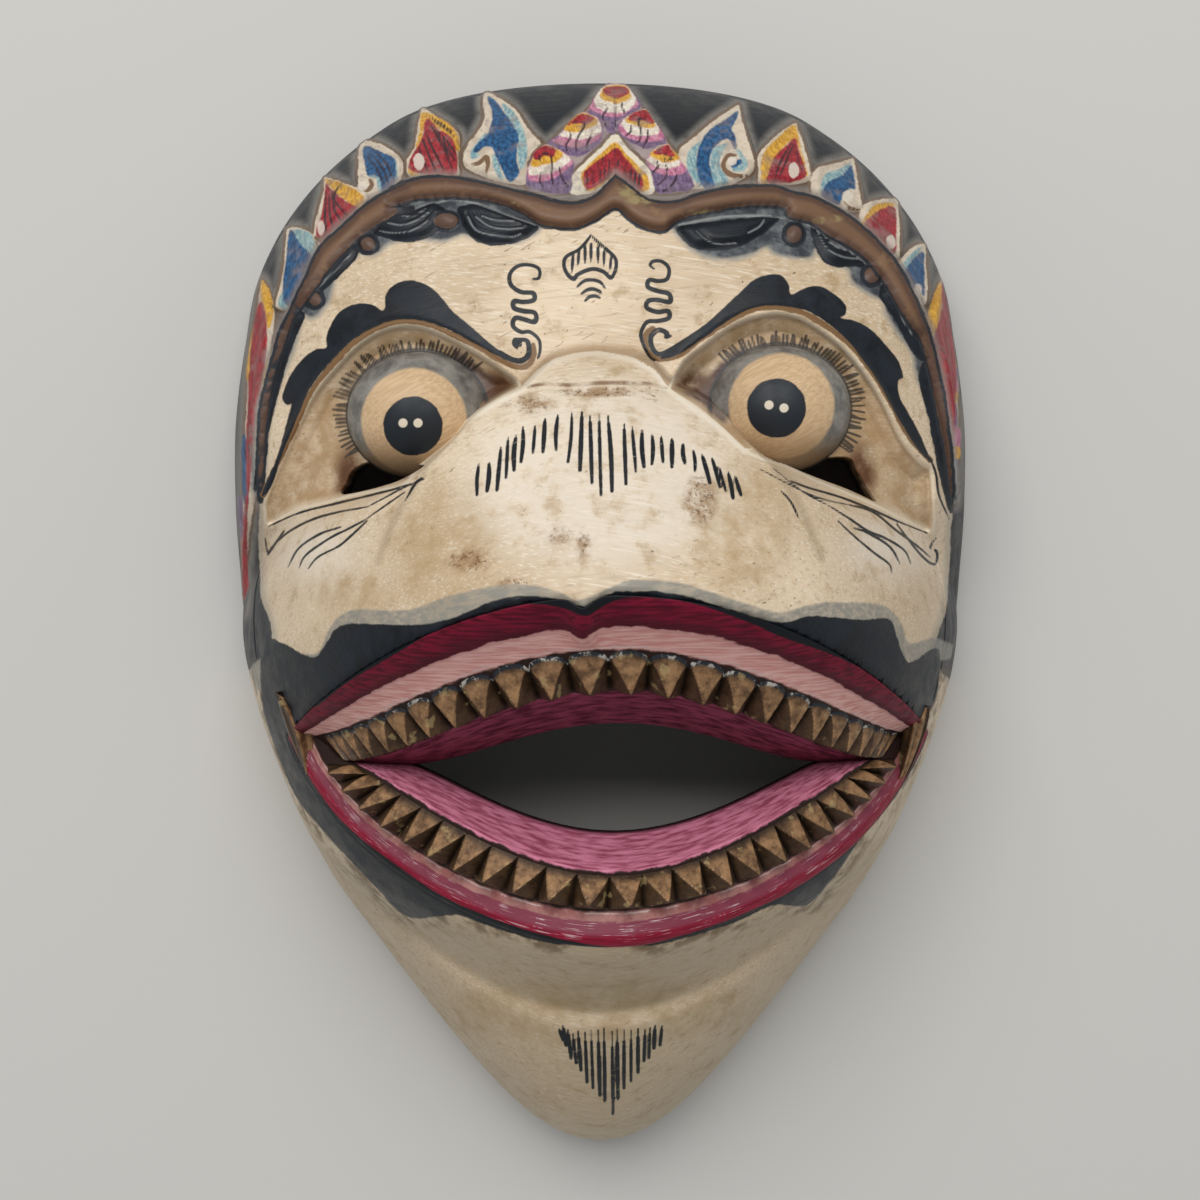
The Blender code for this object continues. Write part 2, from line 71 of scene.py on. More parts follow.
MOUTH_LOOPS = (
    (65.5, 2.6, -27.5, 28.3, 1.90, 36.9, 1.44, 0.0, 0.0, 0.0),
    (62.7, 2.6, -27.0, 22.0, 2.30, 34.3, 1.47, 6.0, 0.5, 3.0),
    (60.0, 2.6, -27.0, 18.0, 3.00, 30.6, 1.45, 12.0, 4.0, 7.0),
    (52.0, 3.0, -32.0, 15.1, 3.30, 18.0, 3.00, 19.0, 7.0, 13.0),
    (41.5, 3.4, -32.7, 9.0, 3.70, 12.3, 2.70, 33.0, 24.0, 25.0),
)
MOUTH_MIDDLE = (3.0, -31.0)
LIP_NOTCH_X, LIP_NOTCH_WIDTH, LIP_NOTCH_DROP = -3.0, 2.2, 2.0
SOCKET_DROP, SOCKET_DEPTH = 2.2, 4.6
KNOB_Y, KNOB_HALF_WIDTH, KNOB_HALF_HEIGHT, KNOB_RISE = 44.0, 13.5, 4.6, 1.8
KNOB_CREASE_Y = 40.0
CREASE_Y, CREASE_BEND, CREASE_WIDTH, CREASE_DEPTH = -82.0, 0.0095, 2.6, 1.6


def outlines(text):
    """Runs of points of the drawing, column,row column,row and so on, each but the last ended
    by a semicolon."""
    return [np.array([point.split(",") for point in run.split()], float) for run in text.split(";")]


SOCKETS = outlines("""
    266,497 281,460 300,420 315,392 334,369 356,346 379,331 402,325 424,327 451,338 476,352 498,366 517,380
    520,388 504,397 476,414 452,432 436,451 419,468 405,485 381,491 353,496 327,503 299,510 268,525 264,512;
    668,388 683,362 705,344 732,325 756,316 779,313 801,318 823,331 845,349 868,377 886,407 902,440 920,462
    931,470 934,500 935,526 928,532 897,517 873,505 840,491 812,480 790,469 746,453 722,430 696,408 670,392
""")


def smooth(x, stations):
    """A monotone cubic through (x, value) stations, level beyond the ends: between stations
    a and b it is a (1+2t)(1-t)^2 + b t^2(3-2t) + (b-a's step)(m_a t(1-t)^2 + m_b t^2(t-1))."""
    xs, ys = np.array(stations, float).T
    step = np.diff(xs)
    rate = np.diff(ys) / step
    slope = np.zeros_like(xs)
    slope[0], slope[-1] = rate[0], rate[-1]
    before, after = rate[:-1], rate[1:]
    turns = before * after <= 0
    low, high = 2 * step[1:] + step[:-1], step[1:] + 2 * step[:-1]
    before, after = np.where(turns, 1, before), np.where(turns, 1, after)
    slope[1:-1] = np.where(turns, 0, (low + high) / (low / before + high / after))
    x = np.clip(x, xs[0], xs[-1])
    i = np.clip(np.searchsorted(xs, x) - 1, 0, len(step) - 1)
    t = (x - xs[i]) / step[i]
    return (
        ys[i] * (1 + 2 * t) * (1 - t) ** 2
        + ys[i + 1] * t * t * (3 - 2 * t)
        + slope[i] * step[i] * t * (1 - t) ** 2
        + slope[i + 1] * step[i] * t * t * (t - 1)
    )


def ramp(x, low, high):
    """t^2 (3 - 2t) with t = (x - low) / (high - low), kept between 0 and 1."""
    t = np.clip((x - low) / (high - low), 0, 1)
    return t * t * (3 - 2 * t)


def bell(x, width):
    """exp(-(x / width)^2)."""
    return np.exp(-((x / width) ** 2))


def floor_point(rho, turn):
    """x = rho cos(turn) side(sin(turn)), y = centre + rho reach sin(turn)."""
    s = np.sin(turn)
    reach = np.where(s > 0, CROWN_REACH, CHIN_REACH)
    return rho * np.cos(turn) * smooth(s, SIDE_REACH), CENTRE_Y + rho * reach * s


def rho_of(x, y):
    """rho of floor_point at x, y: rho = hypot(x / side(up / rho), up), repeated till it rests."""
    up = (y - CENTRE_Y) / np.where(y > CENTRE_Y, CROWN_REACH, CHIN_REACH)
    rho = np.hypot(x / SIDE_REACH[8][1], up)
    for _ in range(12):
        rho = np.hypot(x / smooth(np.clip(up / np.maximum(rho, 1e-6), -1, 1), SIDE_REACH), up)
    return rho


def drawn(x, y, z):
    """Column and row as seen from above: 600 + 2018 x / (460 - z), 600 - 2018 y / (460 - z)."""
    k = DRAWING_SCALE / (EYE_HEIGHT - z)
    return 600 + x * k, 600 - y * k


def flowing(points, closed=True, steps=5):
    """A Catmull-Rom curve: 0.5 (2b + (c-a)t + (2a-5b+4c-d)t^2 + (3b-a-3c+d)t^3) from b to c."""
    p = np.array(points, float)
    if closed:
        p = np.vstack([p[-1], p, p[0], p[1]])
    else:
        p = np.vstack([2 * p[0] - p[1], p, 2 * p[-1] - p[-2]])
    t = np.arange(steps)[:, None] / steps
    a, b, c, d = (p[i:len(p) - 3 + i, None] for i in range(4))
    curve = 0.5 * (2 * b + (c - a) * t + (2 * a - 5 * b + 4 * c - d) * t**2
                   + (3 * b - a - 3 * c + d) * t**3)
    curve = curve.reshape(-1, 2)
    return curve if closed else np.vstack([curve, p[-2]])


FAR = 16.0


def away(points, column, row, closed=True, width=0.0):
    """Distance to the curve through points in drawing units, negative inside a closed one, and
    never more than FAR: the least hypot(p - a - t(b - a)) over its short straight pieces a to b,
    less half of a brush's width, which swells from 0.35 at the ends to 0.92 in the middle."""
    line = flowing(points, closed)
    out = np.full(column.shape, FAR)
    low, high = line.min(0) - FAR, line.max(0) + FAR
    near = (column > low[0]) & (column < high[0]) & (row > low[1]) & (row < high[1])
    c, r = column[near], row[near]
    least, inside = np.full(c.shape, FAR), np.zeros(c.shape, bool)
    brush = width / 2 * (0.35 + 0.57 * np.sin(np.linspace(0, math.pi, len(line))) ** 0.5)
    for (ax, ay), (bx, by), half in zip(line, np.roll(line, -1, 0) if closed else line[1:], brush):
        dx, dy = bx - ax, by - ay
        t = np.clip(((c - ax) * dx + (r - ay) * dy) / max(dx * dx + dy * dy, 1e-9), 0, 1)
        least = np.minimum(least, np.hypot(c - ax - t * dx, r - ay - t * dy) - half)
        if closed and ay != by:
            inside ^= ((ay > r) != (by > r)) & (c < ax + (r - ay) * dx / dy)
    out[near] = np.where(inside, -least, least)
    return out


def nearest(shapes, column, row):
    """The least of away() over several outlines."""
    return np.minimum.reduce([away(shape, column, row) for shape in shapes])


def mouth_loop(loop, turn):
    """x = middle + half cos, y = corner + rise sin^p up or - fall |sin|^q down, and the depth."""
    half, middle, corner, rise, rise_power, fall, fall_power, upper, lower, ends = loop
    s, c = np.sin(turn), np.cos(turn)
    x = middle + half * c
    y = corner + np.where(s > 0, rise * np.abs(s) ** rise_power, -fall * np.abs(s) ** fall_power)
    notch = LIP_NOTCH_DROP * bell(x - LIP_NOTCH_X, LIP_NOTCH_WIDTH) * (s > 0)
    depth = ends + (np.where(s > 0, upper, lower) - ends) * np.abs(s)
    return x, y - np.where(rise > 20, notch, 0), depth


def mouth_depth(x, y):
    """Depth below the muzzle: straight from loop to loop on the way in to the mouth's middle."""
    mx, my = MOUTH_MIDDLE
    way, reach = np.arctan2(y - my, x - mx), np.hypot(x - mx, y - my)
    rings = []
    for loop in MOUTH_LOOPS:
        lx, ly, drop = mouth_loop(loop, np.linspace(0, 2 * math.pi, 721)[:-1])
        around = np.arctan2(ly - my, lx - mx)
        rings.append([np.interp(way, around, v, period=2 * math.pi)
                      for v in (np.hypot(lx - mx, ly - my), drop)])
    depth = np.zeros_like(x)
    for (outer, outer_drop), (inner, inner_drop) in zip(rings, rings[1:]):
        depth += np.clip((outer - reach) / np.maximum(outer - inner, 0.1), 0, 1) * (inner_drop - outer_drop)
    return depth


def envelope(x, y, rho, inset=0.0):
    """plate sqrt(1 - rho^p), blended into muzzle sqrt(1 - rho^2) inside the muzzle's edge, with
    the nose's knob and the crease under the lip. An inset gives the plainer form of the hollow."""
    side = np.abs(x)
    plate = smooth(y, PLATE_HEIGHTS) * np.sqrt(np.maximum(1 - rho ** smooth(y, PLATE_POWERS), 0))
    bent = MOUTH_AXIS_Y + (y - MOUTH_AXIS_Y) / (1 - (x / MOUTH_BEND) ** 2)
    muzzle = smooth(bent, MUZZLE_HEIGHTS) * np.sqrt(np.maximum(1 - rho**2, 0))
    edge = smooth(side, MUZZLE_EDGE)
    top = smooth(side, MUZZLE_TOP) - inset
    share = ramp(top + edge / 2 - y, 0, edge) * ramp(bent - inset, MUZZLE_FOOT, MUZZLE_FOOT + 18)
    if inset:
        return plate + (muzzle - plate) * share
    column, row = drawn(x, y, plate)
    socket = -nearest(SOCKETS, column, row)
    plate = plate - (SOCKET_DROP * ramp(socket, 0, 4) + SOCKET_DEPTH * ramp(socket, 2, 30))
    plate = plate + 0.8 * bell(socket + 3, 4) * ramp(side, 10, 18)
    across = np.hypot(x / KNOB_HALF_WIDTH, (y - KNOB_Y) / KNOB_HALF_HEIGHT)
    muzzle = muzzle + KNOB_RISE * np.sqrt(np.maximum(1 - across**2, 0))
    muzzle = muzzle - 0.5 * bell(y - KNOB_CREASE_Y, 0.8) * (1 - ramp(side, 9, 14))
    crease = y - (CREASE_Y + CREASE_BEND * x * x)
    return (plate + (muzzle - plate) * share
            - CREASE_DEPTH * bell(crease, CREASE_WIDTH) * (1 - ramp(side, 30, 52)))


def disc_grid(columns, rows):
    """rho = sin(pi/2 hypot(u, v)) and its turn, over u = a sqrt(1 - b^2/2), v = b sqrt(1 - a^2/2)
    of a square a, b: a square grid on a disc, closer together towards the edge."""
    a, b = np.meshgrid(np.linspace(-1, 1, columns + 1), np.linspace(-1, 1, rows + 1))
    u, v = a * np.sqrt(1 - b * b / 2), b * np.sqrt(1 - a * a / 2)
    return np.sin(np.clip(np.hypot(u, v), 0, 1) * math.pi / 2), np.arctan2(v, u)


def border(rows, columns):
    """Indices round the edge of a grid of rows by columns points, the way its faces turn."""
    at = np.arange(rows * columns).reshape(rows, columns)
    return np.concatenate([at[0, :-1], at[:-1, -1], at[-1, :0:-1], at[:0:-1, 0]])


def quads(rows, columns):
    """Faces of a grid of rows by columns points: i, i + 1, i + columns + 1, i + columns."""
    at = np.arange(rows * columns).reshape(rows, columns)
    return np.stack([at[:-1, :-1], at[:-1, 1:], at[1:, 1:], at[1:, :-1]], -1).reshape(-1, 4)


def new_piece(name, points, faces, flat=()):
    """A smooth object from points in millimetres, faces out; the faces listed in flat stay flat."""
    mesh = bpy.data.meshes.new(name)
    mesh.from_pydata(((points + (0, LIE_Y, 0)) * 0.001).tolist(), [], faces)
    p = points[np.array([f[:3] for f in faces])]
    if np.einsum("ij,ij->i", p[:, 0], np.cross(p[:, 1], p[:, 2])).sum() < 0:
        mesh.flip_normals()
    shade = np.ones(len(faces), bool)
    shade[list(flat)] = False
    mesh.polygons.foreach_set("use_smooth", shade)
    piece = bpy.data.objects.new(name, mesh)
    bpy.context.scene.collection.objects.link(piece)
    return piece


def sheet(name, top, under, step):
    """A closed piece from a fine grid of points on top and one step times coarser under it,
    with a strip of faces round the edge."""
    (rows, columns), (low_rows, low_columns) = top.shape[:2], under.shape[:2]
    count = rows * columns
    rim, low = border(rows, columns), border(low_rows, low_columns) + count
    fine = np.stack([np.roll(rim, -k)[::step] for k in range(step, -1, -1)], 1)
    side = np.column_stack([fine, low, np.roll(low, -1)])
    faces = quads(rows, columns).tolist() + (quads(low_rows, low_columns)[:, ::-1] + count).tolist()
    flat = range(len(faces), len(faces) + len(side))
    points = np.concatenate([top.reshape(-1, 3), under.reshape(-1, 3)])
    return new_piece(name, points, faces + side.tolist(), flat)


def covered(x, y):
    """1 well inside the places where a finer skin lies on the body, 0 outside them."""
    top = CENTRE_Y + 66 * np.sqrt(np.maximum(1 - (x / 79) ** 2, 0.01))
    face = np.minimum(np.minimum(72 - np.abs(x), y - 2.5), top - y)
    chin = np.minimum(np.minimum(x + 14, 19 - x), np.minimum(y + 104, -74 - y))
    return ramp(np.maximum(face, chin), 1.5, 4.0)


rho, turn = disc_grid(BODY_COLUMNS, BODY_ROWS)
x, y = floor_point(rho, turn)
depth = mouth_depth(x, y)
z = envelope(x, y, rho) - depth - 4.6 * np.clip(depth / 2, 0, 1) - 0.7 * covered(x, y)
face = np.stack([x, y, np.where(rho > 0.99999, 0, z)], -1)
rho, turn = rho[::RIM_STEP, ::RIM_STEP], turn[::RIM_STEP, ::RIM_STEP]
out_x, out_y = floor_point(np.ones_like(rho), turn)
room = 1 - WALL / np.hypot(out_x, out_y - CENTRE_Y)
x, y = floor_point(rho, turn)
x, y = x * room, CENTRE_Y + (y - CENTRE_Y) * room
roof = envelope(x, y, rho_of(x, y), WALL) - mouth_depth(x, y) - WALL * 1.15
roof -= 6.0 * ramp(y, -10, 12) * (1 - ramp(y, 50, 66))
back = np.stack([x, y, np.where(rho > 0.99999, 0, roof * np.sqrt(np.maximum(1 - rho**8, 0)))], -1)
body = sheet("mask_body", face, back, RIM_STEP)


def prism(name, outline, low, high):
    """A cutter: an outline of x, y points carried from low to high."""
    n = len(outline)
    ends = [np.column_stack([outline, np.full(n, level)]) for level in (low, high)]
    around = [(i, (i + 1) % n, n + (i + 1) % n, n + i) for i in range(n)]
    return new_piece(name, np.concatenate(ends),
                     around + [tuple(range(n))[::-1], tuple(range(n, 2 * n))])


def cut(piece, cutters):
    """Takes the cutters out of the piece and leaves it as one plain mesh."""
    for cutter in cutters:
        modifier = piece.modifiers.new(cutter.name, "BOOLEAN")
        modifier.operation, modifier.object, modifier.solver = "DIFFERENCE", cutter, "EXACT"
    shape = bpy.data.meshes.new_from_object(piece.evaluated_get(bpy.context.evaluated_depsgraph_get()))
    piece.modifiers.clear()
    piece.data = shape


# The mouth's opening and the two sight slits below the eyes: holes cut right through the wall, from
# which the dancer breathes and sees.
half, middle, corner, rise, _, fall = MOUTH_LOOPS[4][:6]
turn = np.linspace(0, 2 * math.pi, 120, endpoint=False)
s = np.sin(turn)
mouth_hole = prism("mouth_hole", np.column_stack([
    middle + (half + 1.5) * np.cos(turn),
    corner + np.where(s > 0, (rise + 1) * np.abs(s) ** 1.6, -(fall + 1) * np.abs(s) ** 1.6),
]), 15, 115)
SLITS = (
    ((346, 496), (349, 481), (356, 470), (380, 462), (430, 470), (425, 479), (405, 487), (375, 494)),
    ((780, 466), (800, 462), (845, 458), (856, 472), (868, 492), (872, 503), (845, 492), (812, 480)),
)
SLIT_HEIGHT = 47.0
slits = []
for place in SLITS:
    column, row = flowing(place, True, 4).T
    scale = (EYE_HEIGHT - SLIT_HEIGHT) / DRAWING_SCALE
    slits.append(prism("slit", np.column_stack([column - 600, 600 - row]) * scale, 20, 70))
cut(body, [mouth_hole, *slits])
bpy.data.objects.remove(mouth_hole)


# The upper face and a patch of the chin again, much finer, for the sockets, the brows and the brush
# lines: the same wood and surface as the body's, whose edge dips under the body's own.
def skin(name, x, y, step, thick):
    """A closed sheet over grids x, y: envelope() on top, its plainer form less thick below."""
    rho = rho_of(x, y)
    rows, columns = x.shape
    i, j = np.indices(x.shape)
    edge = np.minimum(np.minimum(i, rows - 1 - i), np.minimum(j, columns - 1 - j))
    z = envelope(x, y, rho) + 0.04 - 0.4 * (1 - ramp(edge, 0, 5))
    low = (envelope(x, y, rho, 0.001) - thick)[::step, ::step]
    return sheet(name, np.stack([x, y, z], -1),
                 np.stack([x[::step, ::step], y[::step, ::step], low], -1), step)


a, b = np.meshgrid(np.linspace(-72, 72, 385), np.linspace(0, 1, 233))
upper_face = skin("upper_face", a, 2.5 + b * (CENTRE_Y + 66 * np.sqrt(1 - (a / 79) ** 2) - 2.5), 4, 9.0)
cut(upper_face, slits)
for each in slits:
    bpy.data.objects.remove(each)
a, b = np.meshgrid(np.linspace(-14, 19, 97), np.linspace(-104, -74, 89))
chin_patch = skin("chin_patch", a, b, 8, 4.0)


# The crown: hair locks, studs, the brown band and the row of leaves, carved in low relief in the same
# wood, a millimetre or two high.
BAND_RISE, LEAF_RISE, LOCK_RISE = 2.0, 1.4, 1.2
BAND_INNER = ((0, 0.645), (5, 0.60), (10, 0.61), (17, 0.665), (30, 0.70), (45, 0.745), (62, 0.80),
              (78, 0.86), (90, 0.885), (112, 0.91))
CROWN_MIDDLE, CROWN_END = 2.0, 108.0
CROWN_COLUMNS, CROWN_ROWS = 760, 113
LEAVES = outlines("""
    422,106 438,117 454,127 461,136 459,155 460,169 459,177 438,179 411,180 406,174 406,160 414,147 416,131
    419,115;
    486,91 502,99 516,109 527,125 538,138 544,143 533,152 528,165 528,185 511,185 494,182 479,176 465,168
    462,158 467,144 476,131 483,117 482,101;
    739,104 728,110 710,122 694,136 678,149 681,166 692,188 712,190 732,185 743,180 753,174 756,166 753,152
    747,133 742,115;
    795,122 779,131 766,144 757,155 757,169 758,185 775,185 791,186 810,182 811,169 806,149 799,128;
    853,157 838,161 813,170 810,194 822,200 839,208 846,212 860,213 863,204 859,180 855,161;
    897,198 879,199 863,204 858,220 873,237 892,255 900,255 900,212;
    925,243 910,248 898,263 902,274 911,293 922,307 928,299 927,259;
    941,279 933,298 926,322 929,336 932,350 933,371 937,403 943,451 951,499 956,499 959,435 959,371 956,323
    949,291;
    361,141 381,143 400,156 404,169 398,184 383,196 372,201 362,195 358,184 357,166;
    324,176 342,181 363,190 369,198 361,209 342,222 324,247 313,239 315,217 322,192;
    288,227 311,231 319,252 310,270 294,297 286,311 275,305 282,271 285,239;
    261,279 271,295 276,319 273,343 268,383 262,431 256,495 248,558 245,606 241,606 241,526 244,431 249,351
    256,311
""")
KITE = outlines("""
    615,86 604,87 587,109 567,125 548,143 534,154 528,172 527,190 549,194 572,194 597,192 615,176 633,192
    652,194 681,194 696,190 689,174 675,151 663,135 650,117 638,102 627,87
""")[0]
BAND = outlines("""
    258,472 259,425 266,383 278,338 281,330 294,303 307,276 319,249 342,227 362,208 386,193 405,185 390,190
    406,182 430,177 462,179 486,184 510,190 533,195 557,202 578,203 596,196 605,187 615,177 616,177 627,185
    640,196 656,203 677,202 696,195 720,190 743,187 775,187 790,192 814,197 838,210 857,223 879,243 898,266
    914,295 926,323 930,335 939,373 946,415 951,451 953,486 950,495 944,451 937,415 930,377 920,340 911,328
    898,306 884,282 870,264 851,248 830,236 811,224 790,218 783,208 759,206 736,208 712,212 689,217 675,223
    664,231 645,228 629,219 616,209 597,220 581,227 565,229 541,225 526,216 510,208 486,201 462,198 438,198
    411,201 390,209 413,208 389,219 366,233 348,249 329,270 313,292 299,311 289,330 287,338 275,373 268,411
    265,449 261,501
""")[0]
LOCKS = outlines("""
    458,208 465,206 479,205 502,212 526,220 538,227 532,234 514,243 492,245 476,240 465,229 459,219;
    374,233 383,222 402,211 430,205 437,205 447,212 442,223 432,235 415,241 397,241 383,237;
    305,303 313,286 329,265 348,247 358,244 356,257 345,270 332,282 319,295 310,308;
    677,228 696,224 728,220 759,217 780,216 775,223 759,236 740,246 718,250 696,249 685,241;
    811,226 830,236 851,243 870,259 865,266 851,266 835,267 822,259 814,243;
    884,283 892,291 905,312 918,336 929,358 922,361 911,349 897,323 886,306 880,295;
    299,311 305,316 297,335 283,375 271,423 260,479 254,488 259,447 270,399 283,351 292,322;
    926,361 933,387 943,427 949,467 953,508 948,508 938,467 929,419 919,379
""")
GROOVES = outlines("""
    468,217 476,230 492,235 511,237 521,234;
    476,217 489,226 505,229 522,228;
    482,216 495,220 514,221;
    380,231 393,233 410,231 425,223 436,212;
    388,223 402,225 417,220 429,212;
    402,216 413,216 426,209;
    319,287 335,271 351,254;
    696,231 708,241 721,244 736,243;
    748,233 759,227 764,220;
    817,231 827,248 843,257 863,259;
    822,232 833,245 849,251 860,255;
    886,288 898,312 913,336;
    319,285 343,252 378,225 414,209 450,200 474,203 510,216 536,225;
    679,225 715,218 743,216 777,217 810,225 839,245 863,261 882,283
""")
KNOBS = (
    ((446, 221), 13.5, 8.5), ((368, 244), 8.5, 8), ((315, 299), 7.5, 8), ((794, 234), 9, 9.5),
    ((872, 275), 8.5, 9),
)


def spots(places, column, row):
    """The least of r (hypot(dx / rx, dy / ry) - 1) over ((x, y), rx, ry) ovals, r their mean."""
    return np.minimum.reduce([
        (rx + ry) / 2 * (np.hypot((column - x) / rx, (row - y) / ry) - 1) for (x, y), rx, ry in places
    ])


def relief(x, y, z):
    """Band, leaf, lock and knob heights from the drawing: each rises within a few units of its
    outline, with a rounded band and locks grooved along their lines."""
    column, row = drawn(x, y, z)
    band = -away(BAND, column, row)
    height = BAND_RISE * np.sqrt(np.clip(1 - (1 - np.clip(band / 7, 0, 1)) ** 2, 0, 1))
    leaf = -nearest(LEAVES + [KITE], column, row)
    height += LEAF_RISE * ramp(leaf, -1.5, 2.5) - 0.5 * ramp(leaf, 5, 11)
    lock = -nearest(LOCKS, column, row)
    groove = np.minimum.reduce([away(g, column, row, False) for g in GROOVES])
    locks = LOCK_RISE * ramp(lock, 0, 8) - 0.45 * bell(groove, 1.8) * ramp(lock, 0, 4)
    height = np.maximum(height, np.where(band > 0, 0, locks))
    knob = -spots(KNOBS, column, row)
    return np.maximum(height, 1.5 * np.sqrt(np.clip(knob / 9, 0, 1)) * (knob > 0))


def outward(rho, turn):
    """Points of the face and their outward unit directions: the cross product of small steps."""
    def at(r, t):
        px, py = floor_point(r, t)
        return np.stack([px, py, envelope(px, py, r)], -1)

    d = 0.002
    along = at(np.clip(rho + d, 0, 0.99995), turn) - at(np.clip(rho - d, 0, 1), turn)
    normal = np.cross(along, at(rho, turn + d) - at(rho, turn - d))
    return at(rho, turn), normal / np.linalg.norm(normal, axis=-1, keepdims=True)


angle = np.linspace(CROWN_MIDDLE - CROWN_END, CROWN_MIDDLE + CROWN_END, CROWN_COLUMNS + 1)
angle, q = np.meshgrid(angle, np.linspace(-0.34, 1, CROWN_ROWS))
inner = smooth(np.abs(angle - CROWN_MIDDLE), BAND_INNER)
below = inner + 0.36 * q * (1 - ramp(np.abs(angle), 84, 98))
rho = np.where(q < 0, below, 1 - (1 - inner) * (1 - np.maximum(q, 0)) ** 2)
points, normal = outward(np.minimum(rho, 0.9999), math.pi / 2 - np.radians(angle))
i, j = np.indices(angle.shape)
edge = np.minimum(np.minimum(i, 3 * (CROWN_ROWS - 1 - i)), np.minimum(j, CROWN_COLUMNS - j))
lift = relief(*np.moveaxis(points, -1, 0)) * ramp(normal[..., 2], 0.15, 0.6) + 0.12
lift = lift * ramp(edge, 0, 10) - 0.4 * (1 - ramp(edge, 0, 6))
top = points + normal * lift[..., None]
top[..., 2] = np.maximum(top[..., 2], 0.0)
under = (points - normal * 2.2)[::8, ::8]
crown = sheet("crown", top, under, 8)


# The painting over the face, the sides and the crown: oil paint in thin coats on light wood, laid on
# with narrow brushes, then oiled and rubbed. Every painted shape is kept on the points as their
# distance to its outline, and the coats lie one over another with slightly uneven edges.
LEAVES_OVER, LEAF_FOOT = 75, 21
EYES = (("left_eye", (418, 414)), ("right_eye", (780, 408)))

